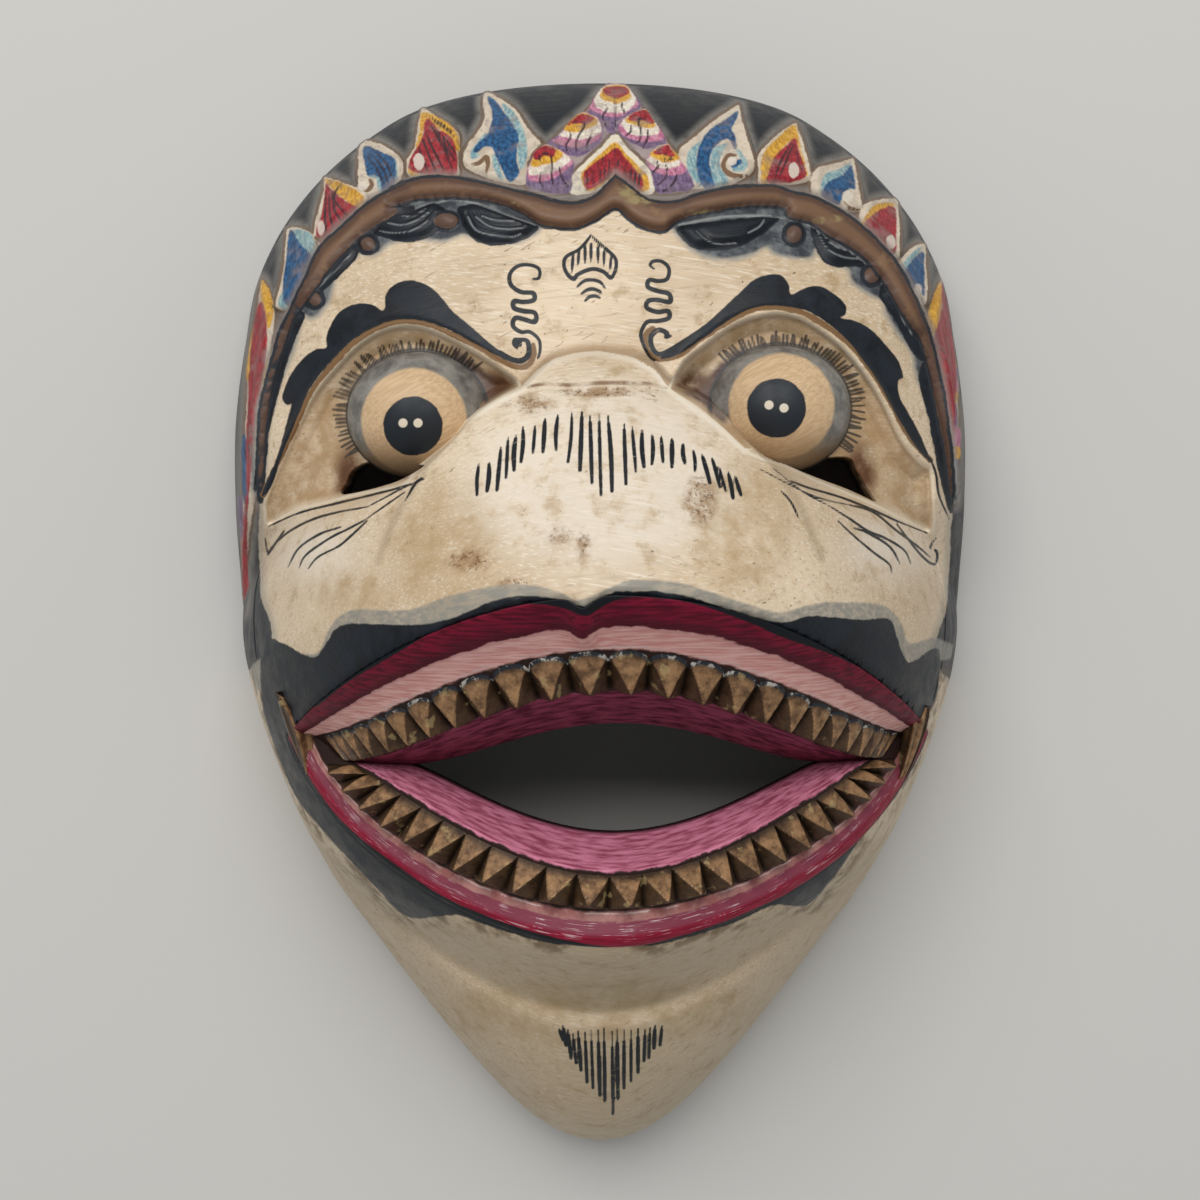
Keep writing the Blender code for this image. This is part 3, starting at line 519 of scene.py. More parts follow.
# What is painted on the crown and round the mouth ends with the leaves where the crown turns down.
CHEVRON = outlines("""
    615,136 604,147 590,160 577,173 572,182 572,192 586,192 600,188 615,177 630,188 640,192 652,192 652,182
    647,170 636,158 625,147
""")[0]
CROWN_LAYERS = {
    "leaf": [*LEAVES, KITE],
    "kite": [KITE],
    "blue": outlines("""
        488,97 498,104 506,115 513,126 518,137 516,150 516,163 519,172 511,182 505,176 500,163 495,152
        492,147 484,147 477,152 474,150 479,142 487,134 492,121 492,110;
        737,111 728,118 712,128 702,141 697,155 697,169 704,189 715,189 712,176 710,163 712,150 720,142
        728,139 736,149 735,136 732,129 737,118;
        851,165 843,175 828,183 822,196 838,205 843,196 849,189 856,189 854,177;
        923,252 911,263 905,275 913,290 918,285 924,296 924,267;
        364,147 381,152 394,160 395,179 391,188 383,192 380,179 373,174 367,174;
        290,231 299,243 313,260 300,287 289,306 283,292 286,263;
        733,163 739,159 742,163 737,166 732,167;
        242,440 247,443 248,500 243,498;
        252,450 256,452 256,488 252,486;
        952,460 958,461 957,498 953,494
    """),
    "sky": outlines("""
        502,104 511,110 521,125 526,141 526,157 521,169 518,153 518,139 513,126 506,115;
        494,155 500,169 505,181 498,177 494,166;
        484,133 488,135 479,144 475,152 479,155 472,158 472,150;
        696,144 687,155 688,169 699,187 704,189 697,169 697,152 702,141;
        712,150 721,145 728,144 723,150 720,160 721,169 728,182 716,188 712,176 710,163;
        736,149 743,155 747,166 742,171 732,170 737,166 742,162;
        851,163 838,170 825,175 820,192 822,196 828,183 843,175;
        921,247 908,258 902,267 905,275 911,263;
        366,169 373,172 381,177 383,192 379,192 376,179 369,176;
        394,160 397,166 397,182 391,188 395,176;
        294,231 310,233 316,252 313,259 299,243;
        279,303 283,292 286,303 287,308 285,310
    """),
    "gold": outlines("""
        606,86 625,86 631,97 621,102 611,102 601,97;
        581,113 592,116 598,122 594,126 585,129 576,132 565,130 567,125;
        544,146 554,148 564,154 560,159 553,163 544,164 536,167 531,165 534,158;
        643,110 648,112 655,126 645,127 638,125 627,122 627,118;
        667,145 671,149 680,158 672,162 663,162 650,155 656,149;
        615,142 603,152 592,162 582,173 582,180 587,191 600,187 615,176 628,185 638,191 648,190 647,177
        638,166 626,153;
        422,113 438,118 451,126 459,137 458,151 455,149 449,136 436,128 427,119 420,144 416,148 420,131;
        408,168 414,172 420,174 414,176 409,174;
        794,125 775,140 763,155 761,169 761,184 767,184 769,171 777,155 793,139 797,144 801,157 806,176
        808,176 805,163 799,141;
        894,203 879,204 870,210 861,224 864,228 876,213 893,206;
        940,283 933,299 926,323 930,339 939,323 942,299;
        325,179 342,183 363,196 359,209 345,200 330,187;
        262,280 271,295 273,316 268,330 265,311 261,298;
        267,359 266,391 256,447 251,447 259,399;
        254,325 257,340 255,360 252,381 247,378 248,357;
        250,404 254,408 254,427 249,424;
        946,354 957,354 958,366 948,365;
        949,388 957,392 957,402 950,400;
        951,448 960,448 959,458 952,457
    """),
    "red": outlines("""
        607,87 624,87 629,93 618,98 604,93;
        581,114 592,117 594,120 585,125 581,123 572,124 567,125;
        544,146 554,148 555,153 552,157 544,155 539,159 534,158 535,153;
        643,110 648,112 652,118 654,123 649,123 644,120 629,120 632,114;
        667,145 671,149 676,157 671,157 663,155 653,154 657,149;
        615,148 602,158 585,171 584,181 587,190 602,183 615,175 625,185 640,190 642,180 630,163 621,151;
        427,119 438,129 449,136 455,147 456,173 438,174 422,174 411,170 408,165 416,150 422,139;
        794,139 777,155 769,171 767,183 782,183 791,182 806,176 801,157 797,144;
        894,207 876,213 864,226 879,241 894,254 896,228;
        942,282 943,299 938,326 930,346 933,371 939,411 949,451 955,419 956,350 954,323 949,291;
        326,183 332,190 345,201 358,209 345,220 332,232 322,245 316,233 321,217 324,198;
        260,302 266,319 267,351 262,383 254,447 248,495 246,447 250,367 253,330;
        245,500 248,500 247,540 248,600 244,618 242,560;
        943,280 948,290 951,311 943,311;
        936,343 941,340 947,390 951,445 946,440 940,390
    """),
    "bone": outlines("""
        605,86 625,86 636,100 625,111 612,112 604,111 594,102;
        581,113 592,116 599,121 602,131 599,134 581,139 567,137 558,136 565,130;
        544,146 554,148 565,154 571,159 566,164 552,172 542,174 530,174 531,164;
        643,110 648,112 659,131 645,135 632,134 625,129 622,123 626,118;
        667,145 671,149 681,163 671,168 659,167 648,161 650,157 656,148
    """),
    "pink": outlines("""
        605,86 626,86 638,104 630,109 625,113 617,117 607,116 589,109 592,103;
        581,113 592,116 600,121 601,136 594,141 579,147 567,146 552,141 560,136;
        544,146 554,148 566,154 573,162 569,167 555,177 541,181 529,179 530,165;
        643,110 648,112 664,137 650,141 638,141 626,137 619,130 620,125 626,118;
        667,145 671,149 686,169 676,175 663,174 652,169 647,163 649,156 656,148;
        949,296 953,312 948,320 944,312;
        938,331 949,336 949,371 940,379;
        947,403 954,411 953,435 948,427;
        254,335 260,338 259,359 252,367;
        249,407 254,412 252,439 248,439;
        250,390 256,392 256,406 251,402;
        948,384 957,382 957,392 949,392;
        951,428 960,430 960,448 951,446;
        945,340 954,340 955,353 946,353
    """),
    "plum": outlines("""
        605,86 626,86 641,105 625,117 616,122 615,134 607,131 603,122 588,112;
        581,113 592,116 602,122 602,137 598,144 581,156 567,154 548,144 558,135;
        544,146 554,148 566,154 574,164 571,177 570,192 546,192 527,187 530,165;
        643,110 648,112 666,141 650,148 638,146 625,139 618,131 618,124 626,118;
        667,145 671,149 687,170 695,187 694,191 675,192 657,192 652,172 647,163 656,148;
        944,314 951,323 951,336 945,331;
        949,355 955,363 954,379 949,379;
        237,500 242,500 243,535 239,532;
        943,312 951,312 953,339 945,340;
        948,366 957,367 957,383 948,384;
        948,404 956,403 957,428 950,427
    """),
    "mouth": outlines("""
        262,640 284,644 312,658 322,649 335,630 353,624 409,625 446,620 475,608 508,597 545,597 565,601
        580,606 587,606 596,600 612,594 633,591 660,592 640,612 560,625 480,625 420,655 360,690 325,715
        300,730 275,730 262,700;
        612,594 633,591 682,595 720,607 779,622 810,616 861,620 889,619 896,634 909,662 932,649 940,655
        936,700 915,725 890,700 840,675 780,655 700,635 640,620;
        262,716 284,777 322,830 373,884 409,917 457,915 500,930 560,945 560,930 450,895 380,845 320,790
        290,735 275,710;
        931,705 915,757 880,812 840,868 810,904 772,906 720,928 650,946 650,930 760,890 830,840 890,780
        915,730
    """),
    "smudge": outlines("""
        268,650 271,643 314,656 330,629 353,611 409,611 450,597 508,585 554,591 580,601 620,584 631,580
        682,585 733,601 779,613 810,606 835,603 881,606 899,621 909,644 937,639 937,660 600,660 268,690
    """),
}

# Brush lines on the leaves by their width: the fans' veins, and the brown curls; then the cream tears.
CROWN_LINES = {
    2: outlines("""
        615,88 615,127;
        606,104 607,109 603,116 606,127;
        623,102 622,106 625,114;
        573,124 576,121 583,122 584,127 577,139 576,152;
        569,130 571,136 566,145 567,151;
        592,129 591,136 587,144 587,150;
        544,162 541,162 539,158 543,154 550,155 552,162 552,180 557,191;
        541,172 540,181 546,191;
        559,167 562,178 569,188;
        646,121 641,118 638,121 641,131 640,140 634,144;
        631,125 631,131 625,137;
        647,127 648,137 643,148;
        668,160 673,159 670,155 665,154 664,159 667,169 666,177 658,185;
        657,160 658,167 653,172;
        675,167 676,178 669,188 659,193;
        428,121 443,147 452,168;
        424,128 433,149 444,170;
        422,137 428,153 436,172;
        432,126 446,147 455,160;
        419,147 423,160 428,171;
        438,131 449,144 455,152
    """),
    1.7: outlines("""
        587,169 588,187;
        592,165 593,186;
        597,160 601,183;
        602,155 606,181;
        608,151 610,178;
        615,143 615,174;
        621,153 617,168;
        625,159 623,180;
        629,163 627,182;
        632,167 631,184;
        636,171 634,186;
        640,174 638,187
    """),
    1.6: outlines("""
        430,117 441,123 452,131;
        433,121 444,128 454,136;
        370,152 383,169 388,182;
        373,149 386,163 391,176;
        367,155 378,171 384,184;
        791,144 780,163 774,182;
        795,141 788,157 780,176;
        797,147 798,160 802,171
    """),
    1.8: outlines("""
        342,182 334,198 348,217;
        332,192 335,211 342,222;
        329,195 330,216 334,230;
        326,192 325,216 326,236
    """),
}
CURLS = {
    4.5: outlines("""
        470,165 479,163 486,157 488,163 486,174
    """),
    5.5: outlines("""
        736,155 728,156 723,165 728,173 737,176 748,176
    """),
    5: outlines("""
        843,202 849,208 859,210;
        361,187 367,190 372,185 370,180;
        315,237 319,240 322,238
    """),
}
TEARS = (
    ((419, 162), 5.5, 8), ((794, 170), 5, 8), ((732, 161), 5, 4), ((848, 196), 6, 6),
    ((891, 242), 4.5, 7), ((321, 228), 3.5, 8), ((363, 186), 5, 4.5), ((918, 290), 4, 7),
)

# What is painted on the whole head: the crown's ground, the hair's dark grey, the brows, the sockets'
# dark inner corners, the brown line over the brows, and the carved line over the nose, with painted
# shade above it and a painted highlight under it; a line of painted shade in the crease across the
# nose, and painted shade down the muzzle's sides.
CROWN = outlines("""
    259,661 260,590 259,543 259,501 258,472 259,425 266,383 278,338 281,330 294,303 307,276 319,249 342,227
    362,208 386,193 405,185 390,190 406,182 430,177 462,179 486,184 510,190 533,195 557,202 578,203 596,196
    605,187 615,177 616,177 627,185 640,196 656,203 677,202 696,195 720,190 743,187 775,187 790,192 814,197
    838,210 857,223 879,243 898,266 914,295 926,323 930,335 939,373 946,415 951,451 953,486 951,533 947,604
    945,675 1120,700 1120,-200 80,-200 80,700
""")[0]
FACE_LAYERS = {
    "crown": [CROWN],
    "band": [BAND],
    "chevron": [CHEVRON],
    "lock": LOCKS,
    "socket": SOCKETS,
    "hair": outlines("""
        539,227 529,235 512,241 486,240 465,233 455,235 441,239 414,237 388,242 374,254 359,252 340,269
        331,285 327,300 314,316 304,314 298,325 292,349 278,381 272,404 266,428 262,475 255,490 258,440
        262,400 280,345 305,295 345,240 400,203 450,190 500,195 540,215;
        674,228 684,240 700,252 724,258 748,254 767,245 777,252 808,257 815,248 830,261 849,268 853,280
        870,292 885,300 887,311 899,331 914,352 918,374 926,393 930,404 939,445 948,472 955,500 950,440
        935,380 920,335 900,298 875,262 845,233 815,215 780,205 740,200 700,208 672,222
    """),
    "brow": outlines("""
        500,351 483,338 467,324 452,311 441,298 429,287 417,282 405,281 393,286 386,295 384,311 372,305
        360,304 346,308 334,320 327,336 327,348 316,350 304,358 292,373 285,389 283,399 287,404 292,404
        288,420 278,456 269,477 262,496 272,484 281,456 296,419 309,390 328,364 351,341 376,326 400,319
        424,321 452,331 478,345 500,357 514,362 523,363;
        701,328 722,310 741,292 755,279 769,275 781,276 788,284 791,295 807,288 821,287 835,295 845,305
        845,314 840,318 854,321 871,330 887,347 899,363 903,377 898,381 899,396 909,415 920,436 927,453
        931,462 916,446 897,415 883,389 868,366 850,343 828,323 805,310 779,305 755,307 732,317 706,336
        680,353 661,357
    """),
    "inner": outlines("""
        452,348 475,364 487,374 503,383 517,392 500,403 478,425 464,400;
        745,348 722,364 708,376 697,386 683,394 700,403 722,425 732,395
    """),
}
RIDGES = outlines("""
    263,495 278,462 297,421 311,392 330,367 353,343 377,328 400,321 424,323 452,334 478,347 500,360 518,367
    529,364 534,354 533,345;
    930,460 909,436 892,404 873,373 850,345 826,326 802,312 779,307 755,309 732,319 703,338 680,354 658,359
    648,351 645,337 653,329
""")
NOSE_RIM = outlines("""
    467,417 493,402 520,388 537,370 554,359 575,353 599,351 632,357 655,370 666,384 675,392 717,423 745,448
""")[0]
# The crease across the nose: a brown line of painted shade along it.
NOSE_SEAM = {
    2: outlines("""
        528,387 545,384 570,385 600,383 630,383 650,384 666,388
    """),
}
# The muzzle's sides where they meet the cheeks: soft lines of painted shade.
FOLD_SHADES = {
    6: outlines("""
        427,468 412,490 398,512 388,535 378,562;
        773,470 790,490 803,512 812,535 822,560
    """),
}

# Ink lines by their width: the signs on the forehead, the strokes on the muzzle and the chin, and the
# whiskers on the cheeks.
LINES = {
    4.6: outlines("""
        533,279 539,278 539,269 530,265 518,266 510,274 511,285 521,292 533,293 534,300 523,302 514,301
        514,308 523,311 535,313 535,322 523,319 515,318 513,326 521,332 530,332 539,340 540,351 538,358;
        515,343 520,345 518,341 515,340 514,344 517,348;
        654,269 650,265 654,261 663,262 669,269 667,279 658,281 649,280 648,287 658,291 669,294 670,302
        658,300 648,301 647,308 658,312 668,311 669,318 658,321 647,322 641,333 643,344 650,357 656,361
    """),
    6: outlines("""
        518,339 527,341 529,350 527,357 520,361 511,359 500,352
    """),
    5: outlines("""
        671,336 666,337 667,333 658,330 651,337 652,347 658,354 668,351 684,341 703,328
    """),
    4: outlines("""
        591,235 586,242 578,250 566,257 564,266 568,275 574,279 577,275 585,271 594,269 604,272 611,278
        616,268 615,258 605,248 597,241 592,236
    """),
    2.8: outlines("""
        572,272 573,256;
        578,266 579,250;
        585,263 585,246;
        591,262 591,244;
        598,263 598,247;
        604,266 604,252;
        610,271 611,257
    """),
    3.6: outlines("""
        577,287 584,281 592,280 600,282 605,288;
        581,294 587,290 593,289 599,291 601,293;
        479,463 477,479 477,495;
        508,437 507,458 506,478;
        535,426 534,440 533,453;
        572,413 571,438 568,462;
        599,414 600,454 601,495;
        632,426 634,449 636,472;
        661,436 662,449 663,462;
        693,450 695,460 695,471;
        719,467 722,478 726,491
    """),
    3.4: outlines("""
        585,301 589,297 595,296 600,298
    """),
    4.8: outlines("""
        489,462 489,476 487,491;
        516,435 514,452 514,470;
        545,419 544,436 543,452;
        582,412 581,441 580,470;
        608,416 611,454 612,491;
        642,430 642,448 644,467;
        672,439 672,453 672,467;
        702,455 706,468 710,483;
        728,472 731,485 733,498
    """),
    4.2: outlines("""
        501,447 499,468 497,490;
        523,427 523,444 521,462;
        558,415 556,432 556,450;
        590,416 591,449 592,483;
        624,424 625,454 626,484;
        652,434 653,449 652,464;
        683,444 683,454 685,463;
        712,458 716,472 720,487;
        735,476 738,486 741,495;
        563,1026 566,1045;
        578,1031 581,1070;
        598,1030 600,1095;
        617,1029 618,1098;
        638,1029 638,1072;
        655,1026 654,1048
    """),
    3.2: outlines("""
        559,1029 563,1040;
        573,1034 576,1063;
        591,1030 593,1088;
        612,1031 613,1114;
        631,1030 631,1081;
        650,1028 649,1058
    """),
    3.7: outlines("""
        568,1030 571,1058;
        585,1032 587,1082;
        604,1028 605,1101;
        624,1030 624,1088;
        645,1030 644,1061;
        662,1026 660,1045
    """),
    2.1: outlines("""
        265,528 299,513 334,504 363,497 391,490 410,484;
        272,547 287,533 311,520 339,512 367,507;
        265,538 268,553 272,547;
        288,567 299,548 320,534 341,527;
        299,568 306,555 330,538 346,530 365,520;
        308,569 318,557 339,546 353,534 367,521;
        268,555 275,544 284,531;
        927,533 897,521 873,510 840,497 809,488 791,481;
        936,538 930,547 937,552 935,564 925,559 911,543 897,524;
        930,557 916,545 897,531 873,512 850,505;
        911,564 904,550 885,538 868,531 850,519 831,507;
        900,564 890,547 868,533 854,528;
        892,573 889,564 873,552 854,536 838,521;
        799,519 791,502 781,491
    """),
    1.4: outlines("""
        367,507 386,497 405,487 424,479;
        365,520 386,505 405,492;
        850,505 826,500 802,491 760,469;
        831,507 802,491 774,469
    """),
    2.2: outlines("""
        405,501 415,484 422,478;
        949,519 939,495 936,474 930,458
    """),
}

# Round places: studs, grime and painted shade in the sockets' corners and by the slits, ochre rubs on
# the band, stains, and browner and paler stretches of the cream, partly painted shade on the muzzle's
# sides and the chin and a painted highlight on the muzzle's top, each a middle and two half widths.
SPOT_LAYERS = {
    "knob": KNOBS,
    "grime": (
        ((507, 386), 16, 13), ((350, 480), 12, 26), ((687, 380), 18, 10), ((860, 476), 12, 24),
        ((420, 470), 34, 8), ((790, 466), 34, 8),
    ),
    "ochre": (
        ((627, 191), 9, 6), ((640, 200), 13, 5), ((826, 219), 15, 5), ((514, 206), 10, 4),
        ((700, 212), 12, 4),
    ),
    "stain": (
        ((528, 404), 24, 9), ((652, 394), 9, 8), ((602, 392), 46, 5), ((560, 535), 12, 8),
        ((470, 560), 22, 12), ((515, 585), 20, 7), ((690, 700), 10, 4), ((583, 545), 7, 13),
        ((566, 598), 9, 5), ((700, 500), 16, 24),
    ),
    # Browner: partly painted shade on the muzzle's sides and the chin.
    "tan": (
        ((445, 545), 48, 62), ((742, 530), 46, 66), ((350, 590), 40, 20), ((600, 1010), 150, 30),
    ),
    # Paler: a painted highlight on the muzzle's top, and paler paint on the cheeks.
    "pale": (
        ((600, 475), 150, 110), ((318, 552), 52, 40), ((884, 548), 52, 42),
    ),
}


def strokes(lines, column, row):
    """The least of away() over brush lines, given as the runs of points of each width."""
    return np.minimum.reduce([
        away(run, column, row, False, width) for width, runs in lines.items() for run in runs
    ])


def lashes(column, row):
    """Short strokes standing on the eyeballs' rims: for each turn a, from r to r + length out."""
    out = np.full(column.shape, FAR)
    rng = np.random.default_rng(7)
    for (_, (x, y)), first, last in zip(EYES, (42, -35), (215, 138)):
        for a in np.radians(np.arange(first, last, 3.3) + rng.uniform(-0.8, 0.8)):
            start, long = rng.uniform(68, 70), rng.uniform(7, 13) + 5 * abs(math.cos(a))
            lean = a + rng.normal(0, 0.12)
            ax, ay = x + start * math.cos(a), y - start * 0.91 * math.sin(a)
            bx, by = ax + long * math.cos(lean), ay - long * math.sin(lean)
            width = rng.uniform(1.8, 2.8)
            out = np.minimum(out, away([(ax, ay), (bx, by)], column, row, False, width))
    return out


def place_of(piece):
    """The piece's points as x, y, z in millimetres of the drawing's frame, from its mesh."""
    flat = np.empty(len(piece.data.vertices) * 3, np.float32)
    piece.data.vertices.foreach_get("co", flat)
    return flat.reshape(-1, 3).astype(float).T * 1000 - np.array([[0], [LIE_Y], [0]])


def store(piece, layers):
    """Each name's values, one a point, as an attribute of the piece."""
    for name, values in layers.items():
        layer = piece.data.attributes.new(name, "FLOAT", "POINT")
        layer.data.foreach_set("value", np.asarray(values, np.float32).ravel())


def draw_layers(piece):
    """Stores the distance from every point to each layer's outlines as seen from above; down = how
    far the lower face leans to the chin; bare = how far the point lies under the painted surface.
    steep ends the leaves where the surface's upward share falls through 0.27, or near the floor."""
    x, y, z = place_of(piece)
    column, row = drawn(x, y, z)
    normal = np.empty(len(x) * 3, np.float32)
    piece.data.vertices.foreach_get("normal", normal)
    steep = 40 * (1 - ramp(normal[2::3], 0.12, 0.42)) - 20
    steep = np.maximum(steep, np.where(y > LEAVES_OVER, 4 * (LEAF_FOOT - z), -20))
    for name, shapes in CROWN_LAYERS.items():
        store(piece, {name: np.maximum(nearest(shapes, column, row), steep)})
    for name, shapes in FACE_LAYERS.items():
        store(piece, {name: nearest(shapes, column, row)})
    for name, runs in (("groove", GROOVES), ("ridge", RIDGES)):
        store(piece, {name: np.minimum.reduce([away(run, column, row, False) for run in runs])})
    for name, places in SPOT_LAYERS.items():
        store(piece, {name: spots(places, column, row)})
    under_nose = row > np.interp(column, *NOSE_RIM.T)
    store(piece, {
        "stripe": np.maximum(strokes(CROWN_LINES, column, row), steep),
        "curl": np.maximum(strokes(CURLS, column, row), steep),
        "tear": np.maximum(spots(TEARS, column, row), steep),
        "ink": strokes(LINES, column, row),
        "seam": strokes(NOSE_SEAM, column, row),
        "fold": strokes(FOLD_SHADES, column, row),
        "lash": lashes(column, row),
        "lid": np.abs(spots([(at, 70, 64) for _, at in EYES], column, row)),
        "rim": away(NOSE_RIM, column, row, False) * np.where(under_nose, -1, 1),
        "down": np.where(y < 0, -normal[1::3], 0),
        "bare": envelope(x, y, np.minimum(rho_of(x, y), 1)) - mouth_depth(x, y) - z,
    })


def hexed(colour):
    """sRGB hex to linear: c / 12.92 or ((c + 0.055) / 1.055)^2.4 for each channel."""
    c = np.array([int(colour[i:i + 2], 16) for i in (1, 3, 5)]) / 255
    return (*np.where(c <= 0.04045, c / 12.92, ((c + 0.055) / 1.055) ** 2.4).tolist(), 1.0)


def new_material(name):
    """An empty material, its tree and its Principled shader."""
    material = bpy.data.materials.new(name)
    material.use_nodes = True
    return material, material.node_tree, material.node_tree.nodes["Principled BSDF"]


painted, tree, shader = new_material("painted_wood")


def add(kind, links=None, **settings):
    """A node in the tree at hand, with its settings, and its inputs linked to sockets or set."""
    node = tree.nodes.new("ShaderNode" + kind)
    for key, value in settings.items():
        setattr(node, key, value)
    for key, value in (links or {}).items():
        if isinstance(value, bpy.types.NodeSocket):
            tree.links.new(value, node.inputs[key])
        else:
            node.inputs[key].default_value = hexed(value) if isinstance(value, str) else value
    return node


def calc(operation, a, b=0.0):
    """A Math node's result."""
    return add("Math", {0: a, 1: b}, operation=operation).outputs[0]


def times(a, b):
    """a b."""
    return calc("MULTIPLY", a, b)


def fade(value, low, high, start=0.0, end=1.0):
    """start to end as value goes from low to high, eased at both ends."""
    links = {0: value, 1: low, 2: high, 3: start, 4: end}
    return add("MapRange", links, interpolation_type="SMOOTHSTEP").outputs[0]


def noise(size, stretch=(1, 1, 1), turn=0.0, detail=3.0, rough=0.55):
    """Noise in cells of so many millimetres, drawn out by stretch along turned axes."""
    place = add("TexCoord").outputs["Object"]
    place = add("Mapping", {0: place, 2: (0, 0, turn), 3: stretch}, vector_type="TEXTURE")
    links = {"Vector": place.outputs[0], "Scale": 1000 / size, "Detail": detail, "Roughness": rough}
    return add("TexNoise", links).outputs[0]


def field(name):
    """The attribute of that name."""
    return add("Attribute", attribute_name=name).outputs["Fac"]


def layer(name, low, high, start=0.0, end=1.0):
    """start to end as the attribute of that name goes from low to high."""
    return fade(field(name), low, high, start, end)


def line_at(value, middle, inner, outer, strength):
    """strength where |value - middle| is under inner, down to 0 at outer."""
    return fade(calc("ABSOLUTE", calc("SUBTRACT", value, middle)), inner, outer, strength, 0)


def edge(name, shift=0.0, soft=0.8, wobble=1.0):
    """1 inside a layer's outline moved out by shift, 0 outside, with a soft and uneven edge."""
    d = calc("ADD", field(name), times(uneven, wobble))
    return fade(d, shift - soft, shift + soft, 1.0, 0.0)


def coat(under, over, cover):
    """over laid on under where cover is 1."""
    return add("Mix", {0: cover, 6: under, 7: over}, data_type="RGBA").outputs[2]


def coats(under, layers):
    """Coats of (over, cover) laid on one after another."""
    for over, cover in layers:
        under = coat(under, over, cover)
    return under


def finish_coat(colour, roughness, height, depth, gloss=0.3):
    """Colour, roughness and a bump of so many millimetres on the shader, with a dull gloss."""
    shader.inputs["Specular IOR Level"].default_value = gloss
    tree.links.new(colour, shader.inputs["Base Color"])
    tree.links.new(roughness, shader.inputs["Roughness"])
    bump = add("Bump", {"Height": height, "Strength": 1.0, "Distance": depth / 1000})
    tree.links.new(bump.outputs[0], shader.inputs["Normal"])


def hand_over(piece, material):
    """The piece's paint and its place in the frame: it rides on the root in the solid's stead."""
    piece.data.materials.append(material)
    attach(piece, "root")
    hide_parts("mask")


# Edges that wander by a millimetre or two, brush marks under 1 mm, blotches of 5 mm and clouds of 38.
wander = times(calc("SUBTRACT", noise(1.4), 0.5), 2.6)
drift = times(calc("SUBTRACT", noise(7), 0.5), 4.0)
uneven = calc("ADD", wander, drift)
grain = noise(0.9, (14, 1, 1), 0.12, 4)
fine_grain = noise(0.4, (26, 1, 1), -0.15, 3)
brushed = noise(0.7, (1, 9, 1), 0.15, 3)
mottle = noise(5, detail=5, rough=0.65)
cloud = noise(38, detail=3)
speck = noise(0.9, detail=2, rough=0.7)
scratch = noise(0.7, (7, 1, 1), 0.5, 2)

# Cream ground: yellowed and rubbed, with brown stains. Painted shade browns the muzzle's sides, the
# chin where the face leans down, lines down the muzzle's sides, the crease across the nose and the
# forehead just above the nose's edge; a painted highlight pales the muzzle's top and the strip just
# under that edge.
cream = coats(coat("#c6ae8e", "#dcc6a8", fade(cloud, 0.35, 0.65)), (
    ("#a99273", fade(grain, 0.5, 0.75, 0, 0.6)),
    ("#efe4d0", fade(fine_grain, 0.5, 0.72, 0, 0.6)),
    ("#a3875f", fade(mottle, 0.54, 0.74, 0, 0.7)),
    ("#6b5238", times(fade(scratch, 0.66, 0.72), fade(cloud, 0.4, 0.6, 0.15, 0.7))),
    ("#4a3826", times(fade(speck, 0.66, 0.72), fade(mottle, 0.48, 0.62, 0, 0.85))),
    # Browner: partly painted shade on the muzzle's sides and the chin.
    ("#b0946c", times(layer("tan", 30, -24), fade(mottle, 0.3, 0.62, 0.1, 0.65))),
    # Paler: a painted highlight on the muzzle's top, and paler paint on the cheeks.
    ("#e4d9c8", times(layer("pale", 16, -50, 0, 0.65), fade(mottle, 0.66, 0.46, 0.35, 1.0))),
    # Painted shade, with some dirt, where the lower face leans to the chin.
    ("#94815f", times(layer("down", 0.15, 0.7), fade(cloud, 0.3, 0.7, 0.3, 0.6))),
    ("#8a6640", times(layer("stain", 9, -9), fade(mottle, 0.4, 0.62, 0, 0.7))),
    ("#5f3f26", times(layer("stain", 6, -6), fade(speck, 0.54, 0.62, 0, 0.6))),
    # Painted shade lines down the muzzle's sides.
    ("#7f6a50", times(layer("fold", 5, -3, 0, 0.5), layer("rim", -8, -20))),
    # Painted shade on the forehead just above the nose's edge.
    ("#9c7c58", times(layer("rim", 13, 0, 0, 0.7), layer("rim", -0.5, 0.5))),
    # A painted highlight as a pale strip just under the nose's edge.
    ("#f0e6d4", times(layer("rim", 1.0, -1.5), layer("rim", -8, -2, 0, 0.6))),
    # Painted shade: a broken brown line in the crease across the nose.
    ("#7a5a3e", times(layer("seam", 2.2, 0.0), fade(mottle, 0.35, 0.55, 0.2, 0.9))),
))

# Sockets: brown wood, darker and greyer in the inner corners, with grime and painted shade deep in the
# corners and by the slits, and a painted highlight as a pale line round their edge.
socket = layer("socket", -1, -9)
corner = coat("#50352c", "#7b6c62", fade(mottle, 0.35, 0.6))
colour = coats(cream, (
    ("#a08058", times(socket, fade(mottle, 0.3, 0.6, 0.3, 0.8))),
    (corner, times(socket, edge("inner", 0, 4, 2))),
    # Grime and painted shade in the sockets' deep corners and by the slits.
    ("#5b3a22", times(socket, times(layer("grime", 16, -8), fade(mottle, 0.25, 0.6, 0.5, 1.0)))),
    # A painted highlight: a pale line round the sockets' edge.
    ("#e0d2ba", line_at(field("socket"), -1.0, 0.6, 2.2, 0.8)),
    ("#8d8a80", times(layer("crown", 9, 1), 0.5)),
))

